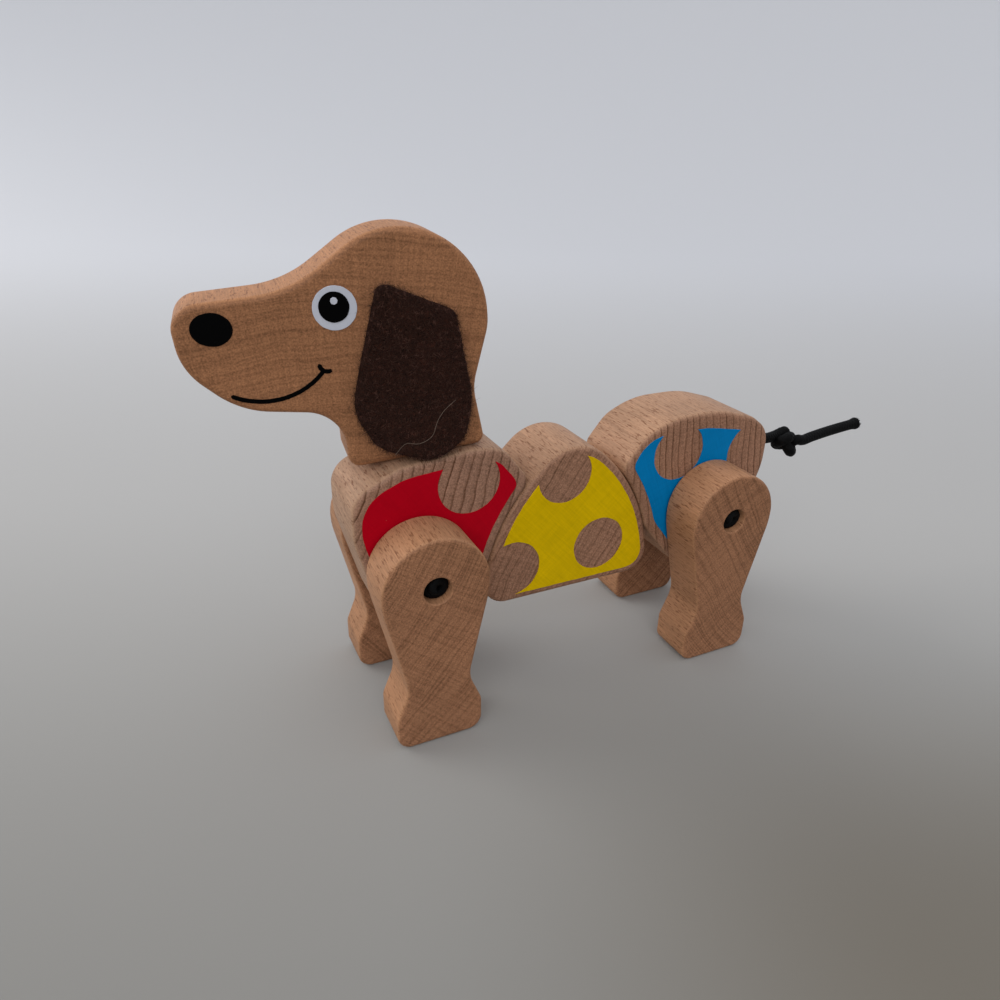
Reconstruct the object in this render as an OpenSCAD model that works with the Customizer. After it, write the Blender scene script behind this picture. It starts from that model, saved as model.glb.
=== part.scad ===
// Jointed wooden dog: flat-sided beech blocks strung on black elastic cord.
// The dog faces -X and its left side faces -Y. The floor is z = 0. Outlines are drawn in X and Z
// from the front leg axle and moved, at the end, so that the origin lies under the middle.

/* [Body blocks] */
// Distance between the front and rear leg axles
wheelbase = 94; // [88:1:104]
// Height of both leg axles over the floor
axle_h = 48.4; // [46:0.2:52]
// Thickness of the three body blocks
block_t = 23; // [20:0.5:28]
// Height of the undersides of the three blocks
belly_z = 28.7; // [24:0.5:32]
// Height of the front block where the neck stands on it
back_z = 77; // [75:0.2:82]
// Angle at which the top of the front block falls towards the chest
back_fall = 5; // [0:0.5:7]
// Height of the top of the rear block
rear_z = 77.8; // [76:0.2:82]
// How far the chest stands ahead of the front leg axle
chest = 16.6; // [14:0.2:22]
// How far the rump stands behind the rear leg axle
rump = 23; // [19:0.5:28]
// Rounding of every wooden edge
edge_r = 1.5; // [0.6:0.1:2]
// Gap left between two blocks that rest on each other
seat_gap = 0.3; // [0.2:0.05:0.6]

/* [Middle block] */
// Width of the middle block at its foot
hump_w = 55.2; // [50:0.4:58]
// Radius of its two bulging sides
hump_r = 53.6; // [48:0.4:62]
// Height of its rounded top
hump_z = 73.8; // [71:0.2:76]
// Height at which the hollow of the front block ends
front_horn_z = 63.5; // [60:0.5:65]
// Height at which the hollow of the rear block ends
rear_horn_z = 61.3; // [60:0.5:65]

/* [Legs] */
// Thickness of a leg
leg_t = 14.4; // [11:0.2:18]
// Radius of the round end about the axle
leg_r = 14.5; // [12:0.1:15]
// Width of the waist above the foot
leg_waist = 17; // [14:0.2:20]
// Width of the foot
foot_w = 24.4; // [21:0.2:28]
// Height of the side of the foot
foot_h = 10; // [8:0.2:13]
// Gap between a leg and the printed side of its block
leg_gap = 0.3; // [0.2:0.05:0.6]

/* [Head] */
// Thickness of the head
head_t = 15; // [12:0.5:17]
// Angle at which the head is turned to the dog's right, as it rests
head_turn = 6; // [-20:1:20]
// Radius of the round back of the skull
skull_r = 21.3; // [19:0.1:22]
// Height of the head over the foot of its neck
head_h = 55.3; // [52:0.1:59]
// Height of the end of the snout
snout_h = 14; // [12:0.2:16]
// How far the nose reaches ahead of the front leg axle, when the head looks straight ahead
snout = 46.3; // [43:0.1:52]
// Height of the throat over the foot of the neck
throat_h = 14.4; // [13:0.1:16]
// How far behind the front leg axle the neck and the head turn
neck_x = 3.6; // [2:0.2:6]
// Width of the neck at its foot
neck_w = 35.5; // [33:0.5:37]
// Gap between the neck and the block it turns on
neck_gap = 0.3; // [0.2:0.05:0.6]

/* [Ears] */
// Thickness of the felt
felt_t = 3; // [2:0.2:4]
// Length of an ear
ear_l = 43.2; // [38:0.2:44]
// How far an ear ends over the foot of the neck
ear_clear = 0.6; // [0.4:0.1:3]
// Width of an ear where it is widest
ear_w = 28.7; // [25:0.1:31]
// How far the free end stands off the head
ear_flare = 1.8; // [0.5:0.1:2.2]

/* [Elastic cord] */
// Diameter of the cord
cord_d = 3.4; // [2.6:0.1:4]
// Room round the cord in the bores of the blocks, on the diameter
bore_room = 2; // [1:0.1:3]
// Room round the cord in the bores of the legs, on the diameter
leg_room = 1; // [0.6:0.1:1.6]
// Diameter of the counterbore that hides a knot
sink_d = 7.6; // [6.8:0.1:9]
// Depth of the counterbore in a leg
sink_depth = 7; // [5:0.5:9]
// How deep a knot lies under the face of its leg
knot_drop = 1.2; // [0.6:0.1:2]
// Height of the cord that strings the blocks together
spine_z = 61.4; // [60:0.2:63]

/* [Print] */
// Thickness of the printed colour
film = 0.2; // [0.15:0.05:0.3]
// Bare rim left round the red and blue panels
rim = 3.1; // [2.6:0.1:4]
// Bare rim left round the yellow panel
hump_rim = 2.3; // [1.8:0.1:3]
// Diameter of the bare spots
spot_d = 17.6; // [14:0.2:20]
// Diameter of the white of an eye
eye_d = 10; // [8:0.2:12]
// Width of the drawn mouth
mouth_w = 1; // [0.6:0.1:1.4]
// Radius of the smile
mouth_r = 16.9; // [14:0.1:19]

/* [Hidden] */

LEFT = -1;
RIGHT = 1;

beech = [0.80, 0.60, 0.42];
crimson = [0.66, 0.02, 0.12];
lemon = [0.88, 0.74, 0.05];
azure = [0.02, 0.42, 0.66];
felt_brown = [0.20, 0.11, 0.09];
elastic_black = [0.05, 0.05, 0.055];

// Widest step along a rounded corner, in degrees
arc_step = 12;
// Steps in the rounding of an edge
edge_steps = 3;

front_x = 0;
rear_x = wheelbase;
mid_x = wheelbase / 2;
rump_x = rear_x + rump;
half_t = block_t / 2;
skin_y = half_t + film;
leg_in = skin_y + leg_gap;
leg_out = leg_in + leg_t;
head_y = head_t / 2;
neck_z = back_z + neck_gap;
bore_d = cord_d + bore_room;
leg_bore_d = cord_d + leg_room;
knot_d = sink_d - 0.3;

// Rounded outlines

function unit(v) = v / norm(v);
function left_of(v) = [-v.y, v.x];
function turn(v, a) = [v.x * cos(a) - v.y * sin(a), v.x * sin(a) + v.y * cos(a)];
function at(p, i) = p[(i + len(p)) % len(p)];
function xz(p) = [p.x, p.y];

// An outline is a list of corners [x, z, radius], counter-clockwise. Each corner gives an arc
// that is tangent to both of its sides.
function corner_arc(a, p, b) = let (
        r = p[2],
        e = unit(xz(p) - xz(a)),
        f = unit(xz(b) - xz(p)),
        s = cross(e, f) >= 0 ? 1 : -1,
        phi = acos(min(1, e * f)),
        c = xz(p) - e * r * tan(phi / 2) + s * r * left_of(e),
        n = max(1, ceil(phi / arc_step - 0.01))
    ) [for (k = [0:n]) c + turn(-s * r * left_of(e), s * phi * k / n)];

function rounded(p) = [for (i = [0:len(p) - 1]) each corner_arc(at(p, i - 1), p[i], at(p, i + 1))];

// The same outline drawn d further in. Outer corners lose d of their radius, inner ones gain it.
function inset(p, d) = [for (i = [0:len(p) - 1]) let (
        e = unit(xz(p[i]) - xz(at(p, i - 1))),
        f = unit(xz(at(p, i + 1)) - xz(p[i])),
        m = left_of(e) + left_of(f),
        q = xz(p[i]) + m * d / (1 + e * f),
        s = cross(e, f) >= 0 ? 1 : -1
    ) [q.x, q.y, max(0.05, p[i][2] - s * d)]];

// Mean of the corners. The faces of a slab are fans about it.
function middle(p) = [for (q = p) 1] * p / len(p);
function shifted(p, dx) = [for (q = p) [q.x + dx, q.y, q[2]]];

// A slab with the given outline, from y0 to y1, with both faces rounded over by r.
module slab(p, y0, y1, r) {
    levels = [
        for (k = [0:edge_steps]) let (a = 90 * k / edge_steps) [y0 + r * (1 - cos(a)), r * (1 - sin(a))],
        for (k = [edge_steps:-1:0]) let (a = 90 * k / edge_steps) [y1 - r * (1 - cos(a)), r * (1 - sin(a))],
    ];
    rings = [for (l = levels) rounded(inset(p, l[1]))];
    n = len(rings[0]);
    last = len(levels) - 1;
    points = [for (j = [0:last]) for (q = rings[j]) [q.x, levels[j][0], q.y]];
    sides = [for (j = [0:last - 1]) for (i = [0:n - 1]) let (k = (i + 1) % n)
        [j * n + k, (j + 1) * n + k, (j + 1) * n + i, j * n + i]];
    near = [for (i = [0:n - 1]) [(i + 1) % n, i, n * (last + 1)]];
    far = [for (i = [0:n - 1]) [last * n + i, last * n + (i + 1) % n, n * (last + 1) + 1]];
    heart = [for (y = [y0, y1]) [middle(p).x, y, middle(p).y]];
    polyhedron(concat(points, heart), concat(near, far, sides));
}

// A flat shape drawn in X and Z and given a thickness, from y0 towards +Y.
module upright(y0, t) {
    translate([0, y0 + t, 0]) rotate([90, 0, 0]) linear_extrude(t) children();
}

// A bore along Y at x, z from y0 to y1.
module cross_bore(x, z, d, y0, y1) {
    translate([x, y1, z]) rotate([90, 0, 0]) cylinder(h = y1 - y0, d = d, $fn = 40);
}

// A round bar or bore along X.
module along_x(x0, x1, z, d) {
    translate([x0, 0, z]) rotate([0, 90, 0]) cylinder(h = x1 - x0, d = d, $fn = 40);
}

// The head and all that it carries are drawn as if the head stood straight, with x from the front
// leg axle and z from the foot of the neck. This gives the place of such a point p on the dog.
function from_head(p) = let (
        q = turn([p.x - neck_x, p.y], -head_turn)
    ) [neck_x + q.x * cos(back_fall) - p.z * sin(back_fall), q.y,
       neck_z + q.x * sin(back_fall) + p.z * cos(back_fall)];

// The foremost point is on the round upper corner of the snout, at the side that is turned forward.
bridge_drop = 10.9;
muzzle_z = head_h - bridge_drop;
snout_r = 6;
foremost = from_head([-snout + snout_r, 0, muzzle_z - snout_r]).x
    - snout_r * norm([cos(back_fall) * cos(head_turn), sin(back_fall)])
    - cos(back_fall) * abs(sin(head_turn)) * (head_y - edge_r);
origin_x = (rump_x + foremost) / 2;

// Places a node over the origin.
module set() {
    translate([-origin_x, 0, 0]) children();
}

// Stands a shape on the slope of the back, about the axis of the neck.
module on_back() {
    set() translate([neck_x, 0, neck_z]) rotate([0, -back_fall, 0]) children();
}

module on_head() {
    on_back() rotate([0, 0, -head_turn]) translate([-neck_x, 0, 0]) children();
}

// Outlines of the body

// The sides of the middle block are arcs about a point beyond its other side. Its top is an arc
// that meets both of them without a corner.
hump_rise = 1.3;
hump_cx = hump_r - hump_w / 2;
hump_cz = belly_z + hump_rise;
hump_low = 10.5;
hump_h = hump_z - hump_cz;
hump_top = (hump_r ^ 2 - hump_cx ^ 2 - hump_h ^ 2) / (2 * (hump_r - hump_h));
hump_high = atan2(hump_h - hump_top, hump_cx) - 2.5;
hump_foot_r = 7;

// Corner whose arc of radius r is concentric with the left side of the middle block.
function side_corner(r, low, high) = let (m = (low + high) / 2, d = r / cos((high - low) / 2))
    [mid_x + hump_cx - d * cos(m), hump_cz + d * sin(m), r];
function up_side(p, a, l, r) = [p.x + l * sin(a), p.y + l * cos(a), r];

hump_side = side_corner(hump_r, hump_low, hump_high);
hump_foot = up_side(hump_side, hump_low, -(hump_side.y - belly_z) / cos(hump_low), hump_foot_r);
hump_peak = up_side(hump_side, hump_high, (mid_x - hump_side.x) / sin(hump_high), 0);
hump_top_r = (hump_peak.y - hump_z) / (1 / sin(hump_high) - 1);

function flipped(p) = [2 * mid_x - p.x, p.y, p[2]];
middle_outline = [
    hump_foot, flipped(hump_foot), flipped(hump_side),
    [mid_x, hump_peak.y, hump_top_r], hump_side,
];

// The end blocks are hollowed to fit those sides. Above each hollow stands a horn.
seat_r = hump_r + seat_gap;
seat_foot_z = 45.8;
horn_r = 4.2;
seat_foot_r = 9;
function seat_angle(z) = asin((z - hump_cz) / seat_r);
seat_low = seat_angle(seat_foot_z);
function seat(z) = side_corner(seat_r, seat_low, seat_angle(z));
function seat_half(z) = seat_r * tan((seat_angle(z) - seat_low) / 2);
function horn(z) = up_side(seat(z), seat_angle(z), seat_half(z) + 0.9 * horn_r, horn_r);
function seat_foot(z) = up_side(seat(z), seat_low, -seat_half(z) - 0.25 * seat_foot_r, seat_foot_r);

// Widths from an axle or from the chest and rump, drops from the back, and radii of the corners
belly_half = 9;
belly_r = 6;
keel_r = 8;
flank_rise = 9;
flank_r = 20;
withers = 16.5;
withers_r = 30;
shoulder = 24.6;
shoulder_rise = 0.2;
shoulder_r = 8;
breast = 13.1;
breast_r = 14;
chest_drop = 6.8;
loin = 24.3;
loin_drop = 4.6;
loin_r = 12;
saddle = 15;
saddle_r = 28;
croup = 20;
croup_r = 34;
hip = 7;
hip_drop = 4;
hip_r = 9;
rump_in = 8.4;
rump_drop = 9;

// Height of the sloping top of the front block at x.
function back_at(x) = back_z + (x - neck_x) * tan(back_fall);

function front(chest_x, corner_r) = [
    [front_x - belly_half, belly_z, keel_r], [front_x + belly_half, belly_z, belly_r],
    seat_foot(front_horn_z), seat(front_horn_z), horn(front_horn_z),
    [front_x + shoulder, back_z + shoulder_rise, shoulder_r],
    [front_x + withers, back_at(withers), withers_r], [breast - chest, back_at(breast - chest), breast_r],
    [chest_x, back_z - chest_drop, corner_r], [chest_x, axle_h + flank_rise, flank_r],
];
front_outline = front(-chest, keel_r);

function rear(top) = [
    [rear_x - belly_half, belly_z, belly_r], [rump_x - rump_in, belly_z, keel_r],
    [rump_x, axle_h + flank_rise, flank_r], [rump_x, rear_z - rump_drop, hip_r], each top,
    flipped(horn(rear_horn_z)), flipped(seat(rear_horn_z)), flipped(seat_foot(rear_horn_z)),
];
rear_outline = rear([
    [rump_x - hip, rear_z - hip_drop, hip_r], [rump_x - croup, rear_z, croup_r],
    [rear_x - saddle, rear_z, saddle_r], [rear_x - loin, rear_z - loin_drop, loin_r],
]);

// Body blocks

// The neck bore leans with the neck. It is a little wider than the bore of the spine and ends below it.
neck_bore_d = bore_d + 0.6;
neck_bore_end = 1;
elbow_x = neck_x + (neck_z - spine_z) * tan(back_fall);

module front_block() {
    neck_depth = (neck_z - spine_z) / cos(back_fall) + bore_d / 2 + neck_bore_end;
    color(beech) difference() {
        set() slab(front_outline, -half_t, half_t, edge_r);
        set() cross_bore(front_x, axle_h, bore_d, -block_t, block_t);
        set() along_x(elbow_x, mid_x, spine_z, bore_d);
        on_back() translate([0, 0, -neck_depth])
            cylinder(h = neck_depth + block_t, d = neck_bore_d, $fn = 40);
    }
}

module middle_block() {
    set() color(beech) difference() {
        slab(middle_outline, -half_t, half_t, edge_r);
        along_x(0, wheelbase, spine_z, bore_d);
    }
}

module rear_block() {
    set() color(beech) difference() {
        slab(rear_outline, -half_t, half_t, edge_r);
        cross_bore(rear_x, axle_h, bore_d, -block_t, block_t);
        along_x(mid_x, rump_x + 1, spine_z, bore_d);
    }
}

// Printed panels with their bare spots

// A spot is [x, z, diameter].
module spot(p) {
    translate([p.x, p.y]) circle(d = p[2], $fn = 48);
}

// Prints a flat shape on one side of a piece whose face lies at y.
module print_on(side, y) {
    upright(side == LEFT ? -y - film : y, film) children();
}

// The corners of a panel are rounded at least this much.
panel_r = 4;
module panel(p) {
    offset(r = panel_r, $fn = 48) offset(r = -panel_r) polygon(rounded(p));
}

// Bare wood round the mouth of a leg bore.
module bore_mouth(x) {
    translate([x, axle_h]) circle(d = bore_d, $fn = 40);
}

// The spots differ a little in size.
red_spot = [front_x + 14.7, back_z - 7.8, spot_d];
yellow_spots = [
    [mid_x - 3.4, hump_z - 7.6, spot_d - 0.8], [mid_x + 9.3, belly_z + 13.2, spot_d - 0.8],
    [mid_x - 18.3, belly_z + 11.9, spot_d - 1.8],
];
blue_spots = [[rear_x - 11.9, rear_z - 10.9, spot_d], [rump_x - 6.4, rear_z - 14.9, spot_d + 1.8]];

// The print reaches nearer to the chest than to the other edges and takes the corner in a wider curve.
red_reach = 0.9;
red_corner_r = 10;
red_outline = inset(front(-chest - red_reach, red_corner_r + rim), rim);

module red_panel(side) {
    color(crimson) set() print_on(side, half_t) difference() {
        panel(red_outline);
        spot(red_spot);
        bore_mouth(front_x);
    }
}

module yellow_panel(side) {
    color(lemon) set() print_on(side, half_t) difference() {
        panel(inset(middle_outline, hump_rim));
        for (p = yellow_spots) spot(p);
    }
}

// The blue print is flatter on top than the wood, with one wide corner above the horn.
blue_outline = inset(rear([
    [rump_x - 8, rear_z - 4.8, 9], [rear_x - 1.7, rear_z - 1.5, 43], [rear_x - 25.3, rear_z - 1.5, 14],
]), rim);

module blue_panel(side) {
    color(azure) set() print_on(side, half_t) difference() {
        panel(blue_outline);
        for (p = blue_spots) spot(p);
        bore_mouth(rear_x);
    }
}

// Legs

sole_r = 4;
toe_r = 5;
waist_r = 10;
waist_rise = 9;
thigh_drop = 3;
thigh_r = 24;

leg_outline = [
    [-foot_w / 2, 0, sole_r], [foot_w / 2, 0, sole_r], [foot_w / 2, foot_h, toe_r],
    [leg_waist / 2, foot_h + waist_rise, waist_r], [leg_r, axle_h - thigh_drop, thigh_r],
    [leg_r, axle_h + leg_r, leg_r - 0.01], [-leg_r, axle_h + leg_r, leg_r - 0.01],
    [-leg_r, axle_h - thigh_drop, thigh_r], [-leg_waist / 2, foot_h + waist_rise, waist_r],
    [-foot_w / 2, foot_h, toe_r],
];

module leg(x, side) {
    inner = side * leg_in;
    outer = side * leg_out;
    set() color(beech) difference() {
        slab(shifted(leg_outline, x), min(inner, outer), max(inner, outer), edge_r);
        cross_bore(x, axle_h, leg_bore_d, -2 * leg_out, 2 * leg_out);
        cross_bore(x, axle_h, sink_d, side == LEFT ? -2 * leg_out : leg_out - sink_depth,
            side == LEFT ? sink_depth - leg_out : 2 * leg_out);
    }
}

// Head

throat = neck_x - neck_w / 2;
nape = neck_x + neck_w / 2;
neck_front_r = 3;
neck_back_r = 2.4;
nape_in = 1.9;
nape_h = 15.5;
nape_r = 14;
throat_in = 0.7;
throat_r = 10;

// The back of the skull is an arc. So is the brow, which leads from it to the slope of the bridge.
skull_x = neck_x + skull_r - 0.3;
skull_low = 3.5;
slope = 31;
brow_x = skull_x - skull_r * (1 + tan(slope / 2));
bridge_x = brow_x - bridge_drop / tan(slope);
bridge_r = 28;
lip_r = 14;
jaw_in = 10.1;
jaw_z = throat_h + 0.3 * (muzzle_z - snout_h - throat_h);
jaw_r = 20;

head_outline = [
    [throat, 0, neck_front_r], [nape, 0, neck_back_r], [nape - nape_in, nape_h, nape_r],
    [skull_x, head_h - skull_r - skull_low, nape_r], [skull_x, head_h, skull_r - 0.02],
    [brow_x, head_h, skull_r], [bridge_x, muzzle_z, bridge_r],
    [-snout, muzzle_z, snout_r], [-snout, muzzle_z - snout_h, lip_r],
    [jaw_in - snout, jaw_z, jaw_r], [throat + throat_in, throat_h, throat_r],
];

// The cord comes up through the neck to a knot in a cross hole, which the ears hide.
knot_z = ear_clear + 0.6 * ear_l;

module head() {
    on_head() color(beech) difference() {
        slab(head_outline, -head_y, head_y, edge_r);
        translate([neck_x, 0, -1]) cylinder(h = knot_z + 1, d = bore_d, $fn = 40);
        cross_bore(neck_x, knot_z, sink_d, -head_t, head_t);
    }
}

// Felt ears, flat against the head at the top and curving off it below

ear_front = -10.8;
ear_hang = 10;
ear_bend_z = ear_clear + ear_l - ear_hang;
ear_bend_r = (ear_bend_z ^ 2 + ear_flare ^ 2) / (2 * ear_flare);

// Corners as shares of the width and the length of an ear.
function ear_corner(across, up, r) = [ear_front + across * ear_w, ear_clear + up * ear_l, r];
ear_outline = [
    ear_corner(0.13, 0.11, 9), ear_corner(0.6, -0.034, 9.5), ear_corner(0.92, 0.083, 9),
    ear_corner(1.007, 0.315, 15), ear_corner(0.934, 0.81, 3.5), ear_corner(0.324, 1.018, 2.5),
    ear_corner(-0.03, 0.35, 13),
];

// Section across an ear: straight at the top, then an arc that leads away from the head.
module ear_section() {
    translate([head_y, ear_bend_z]) square([felt_t, 2 * ear_hang]);
    intersection() {
        translate([0, -ear_hang]) square([ear_bend_r, ear_bend_z + ear_hang + 0.01]);
        translate([head_y + ear_bend_r, ear_bend_z]) difference() {
            circle(r = ear_bend_r, $fn = 360);
            circle(r = ear_bend_r - felt_t, $fn = 360);
        }
    }
}

module ear(side) {
    reach = head_y + 2 * felt_t;
    on_head() color(felt_brown) intersection() {
        upright(side == LEFT ? -reach : 0, reach) polygon(rounded(ear_outline));
        mirror([0, side == LEFT ? 1 : 0, 0]) translate([-skull_r - ear_w, 0, 0])
            rotate([90, 0, 90]) linear_extrude(2 * (skull_r + ear_w)) ear_section();
    }
}

// Printed face

eye = [-11.4, head_h - 15.7];
pupil_d = 0.69 * eye_d;
pupil_shift = [-0.15, 0.3];
glint_d = 0.17 * eye_d;
glint_shift = [0, 1.7];
nose = [8.2 - snout, head_h - 16.6];
nose_half = [4.4, 3.65];
nose_lean = -7;
mouth = [18 - snout, head_h - 17.6];
smile_from = 239;
smile_to = 315.5;
tick_r = 1.75;
tick_lean = 54;
tick_half = 51;

// Prints a flat shape on one side of the head, over the given number of films.
module face_print(side, under = 0) {
    on_head() print_on(side, head_y + under * film) children();
}

module eye_white(side) {
    color("white") face_print(side) translate(eye) circle(d = eye_d, $fn = 48);
}

module pupil(side) {
    color("black") face_print(side, 1) translate(eye + pupil_shift) circle(d = pupil_d, $fn = 40);
}

module glint(side) {
    color("white") face_print(side, 2) translate(eye + glint_shift) circle(d = glint_d, $fn = 24);
}

module nose(side) {
    color("black") face_print(side) translate(nose)
        polygon([for (a = [0:12:348]) turn([nose_half.x * cos(a), nose_half.y * sin(a)], nose_lean)]);
}

// A hairline along an arc. An offset makes it as wide as the pen.
hair = 0.05;
module pen_arc(r, from, to) {
    polygon(concat(
        [for (a = [from:4.5:to]) (r - hair) * [cos(a), sin(a)]],
        [for (a = [to:-4.5:from]) (r + hair) * [cos(a), sin(a)]]));
}

// A smile with a short curved stroke across its end.
module mouth(side) {
    color("black") face_print(side) translate(mouth) offset(r = mouth_w / 2 - hair, $fn = 16) {
        pen_arc(mouth_r, smile_from, smile_to);
        translate(mouth_r * [cos(smile_to), sin(smile_to)] + tick_r * [cos(tick_lean), sin(tick_lean)])
            pen_arc(tick_r, 180 + tick_lean - tick_half, 180 + tick_lean + tick_half);
    }
}

// Elastic cord

// A knot pulled into its hole: turns of cord, one on the other, along Y from y0 to y1.
module knot(x, z, y0, y1) {
    turns = round((y1 - y0) / cord_d);
    turn_r = (y1 - y0) / turns / 2;
    color(elastic_black) translate([x, y0, z]) rotate([-90, 0, 0]) rotate_extrude($fn = 40) {
        square([knot_d / 2 - turn_r, y1 - y0]);
        for (k = [0:turns - 1])
            translate([knot_d / 2 - turn_r, (2 * k + 1) * turn_r]) circle(r = turn_r, $fn = 32);
    }
}

module leg_knot(x, side) {
    inner = leg_out - sink_depth;
    outer = leg_out - knot_drop;
    set() knot(x, axle_h, side == LEFT ? -outer : inner, side == LEFT ? -inner : outer);
}

module head_knot() {
    on_head() knot(neck_x, knot_z, knot_drop / 2 - head_y, head_y - knot_drop / 2);
}

module leg_cord(x) {
    set() color(elastic_black) cross_bore(x, axle_h, cord_d, sink_depth - leg_out, leg_out - sink_depth);
}

// The cord comes down the leaning neck and turns into the spine on a bend of this radius.
bend_r = cord_d / 2 + 1;
bend_up = (spine_z - neck_z + bend_r * (1 - sin(back_fall))) / cos(back_fall);
bend_x = neck_x + bend_r * cos(back_fall) - bend_up * sin(back_fall);

// The cord is cut where it passes from one body to the next: this deep in an end block, and this
// deep in the middle block.
seat_x = mid_x + hump_cx - sqrt(seat_r ^ 2 - (spine_z - hump_cz) ^ 2);
seat_cut = 8;
hump_cut = 4;
front_cut = seat_x - seat_cut;
middle_cut = seat_x + seat_gap + hump_cut;
function mirrored(x) = 2 * mid_x - x;

module neck_cord() {
    color(elastic_black) {
        on_back() translate([0, 0, bend_up]) {
            cylinder(h = knot_z - sink_d / 2 - bend_up, d = cord_d, $fn = 40);
            translate([bend_r, 0, 0]) rotate([90, 0, 0]) rotate([0, 0, 180])
                rotate_extrude(angle = 90 - back_fall, $fn = 40)
                    translate([bend_r, 0]) circle(d = cord_d, $fn = 24);
        }
        set() along_x(bend_x, front_cut, spine_z, cord_d);
    }
}

module spine_cord(x0, x1) {
    set() color(elastic_black) along_x(x0, x1, spine_z, cord_d);
}

// The cord runs on through the rear block to the overhand knot and the free end.
tail_root = rump_x - 12;
tail_exit = rump_x + 2;
knot_at = 138.5;
tail_route = [
    [knot_at - 7.5, 0, 60.2], [knot_at - 4.6, 1.2, 59.4],
    [knot_at - 2, 1.9, 57.4], [knot_at, -1.7, 54.8], [knot_at + 2.4, -1.1, 53.4],
    [knot_at + 3.5, 0.6, 55.8], [knot_at + 2, 1.9, 58.6], [knot_at, 0.3, 60.8],
    [knot_at - 2.2, -1.8, 58.6], [knot_at - 3.5, -0.7, 55.8], [knot_at - 2.2, 1.1, 53.4],
    [knot_at + 0.2, 2, 55.2], [knot_at + 2.2, -1.9, 57.6], [knot_at + 4.8, -1.4, 58.2],
    [knot_at + 9, 0, 58.4], [knot_at + 20, 0.2, 58.4], [knot_at + 32.4, 0.4, 58.9],
];

// Points along a smooth curve through p, n to each stretch.
function spline(p, n) = [
    for (i = [0:len(p) - 2]) let (
            a = p[max(0, i - 1)], b = p[i], c = p[i + 1], d = p[min(len(p) - 1, i + 2)]
        ) for (k = [0:n - 1]) let (t = k / n)
            (2 * b + t * (c - a) + t ^ 2 * (2 * a - 5 * b + 4 * c - d) + t ^ 3 * (3 * b - a - 3 * c + d)) / 2,
    p[len(p) - 1]];

// Frames carried along the path, so that the tube doesn't twist.
function heading(p, i) = unit(p[min(i + 1, len(p) - 1)] - p[max(i - 1, 0)]);
function carried(p, i, u) = let (t = heading(p, i)) unit(u - (u * t) * t);
function frames(p, i, u, out) = i == len(p) ? out
    : let (v = carried(p, i, u)) frames(p, i + 1, v, concat(out, [v]));

module tube(p, d, n) {
    us = frames(p, 0, [0, 0, 1], []);
    last = len(p) - 1;
    points = [for (i = [0:last]) let (
            u = us[i], v = cross(heading(p, i), u))
        for (k = [0:n - 1]) p[i] + d / 2 * (cos(360 * k / n) * u + sin(360 * k / n) * v)];
    polyhedron(points, concat(
        [[for (k = [0:n - 1]) k]], [[for (k = [n - 1:-1:0]) last * n + k]],
        [for (i = [0:last - 1]) for (k = [0:n - 1]) let (m = (k + 1) % n)
            each [[(i + 1) * n + m, i * n + m, i * n + k], [(i + 1) * n + k, (i + 1) * n + m, i * n + k]]]));
}

tail_line = concat([[tail_root, 0, spine_z], [tail_exit, 0, spine_z]], spline(tail_route, 3));

module tail_cord() {
    set() color(elastic_black) tube(tail_line, cord_d, 8);
}

middle_block();
yellow_panel(LEFT);  // yellow_panel_left
yellow_panel(RIGHT);  // yellow_panel_right
front_block();
red_panel(LEFT);  // red_panel_left
red_panel(RIGHT);  // red_panel_right
rear_block();
blue_panel(LEFT);  // blue_panel_left
blue_panel(RIGHT);  // blue_panel_right
leg(front_x, LEFT);  // front_left_leg
leg(front_x, RIGHT);  // front_right_leg
leg(rear_x, LEFT);  // rear_left_leg
leg(rear_x, RIGHT);  // rear_right_leg
head();
ear(LEFT);  // ear_left
ear(RIGHT);  // ear_right
eye_white(LEFT);  // eye_left
eye_white(RIGHT);  // eye_right
pupil(LEFT);  // pupil_left
pupil(RIGHT);  // pupil_right
glint(LEFT);  // glint_left
glint(RIGHT);  // glint_right
nose(LEFT);  // nose_left
nose(RIGHT);  // nose_right
mouth(LEFT);  // mouth_left
mouth(RIGHT);  // mouth_right
neck_cord();
spine_cord(front_cut, middle_cut);  // spine_cord_front
spine_cord(middle_cut, mirrored(middle_cut));  // spine_cord_middle
spine_cord(mirrored(middle_cut), mirrored(front_cut));  // spine_cord_rear
spine_cord(mirrored(front_cut), tail_root);  // spine_cord_end
leg_cord(front_x);  // front_leg_cord
leg_cord(rear_x);  // rear_leg_cord
head_knot();
leg_knot(front_x, LEFT);  // front_left_knot
leg_knot(front_x, RIGHT);  // front_right_knot
leg_knot(rear_x, LEFT);  // rear_left_knot
leg_knot(rear_x, RIGHT);  // rear_right_knot
tail_cord();
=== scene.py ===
# %% [markdown]
# # A jointed wooden dog on elastic cord
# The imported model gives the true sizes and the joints. This lesson dresses it: every board of
# beech is shaped again as a smooth surface, the ears become felt, the tail becomes braided
# elastic with an overhand knot in it, and each surface gets a material worked out from nodes.

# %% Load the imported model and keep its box
import math

import bpy
import numpy as np
from mathutils import Matrix

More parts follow.
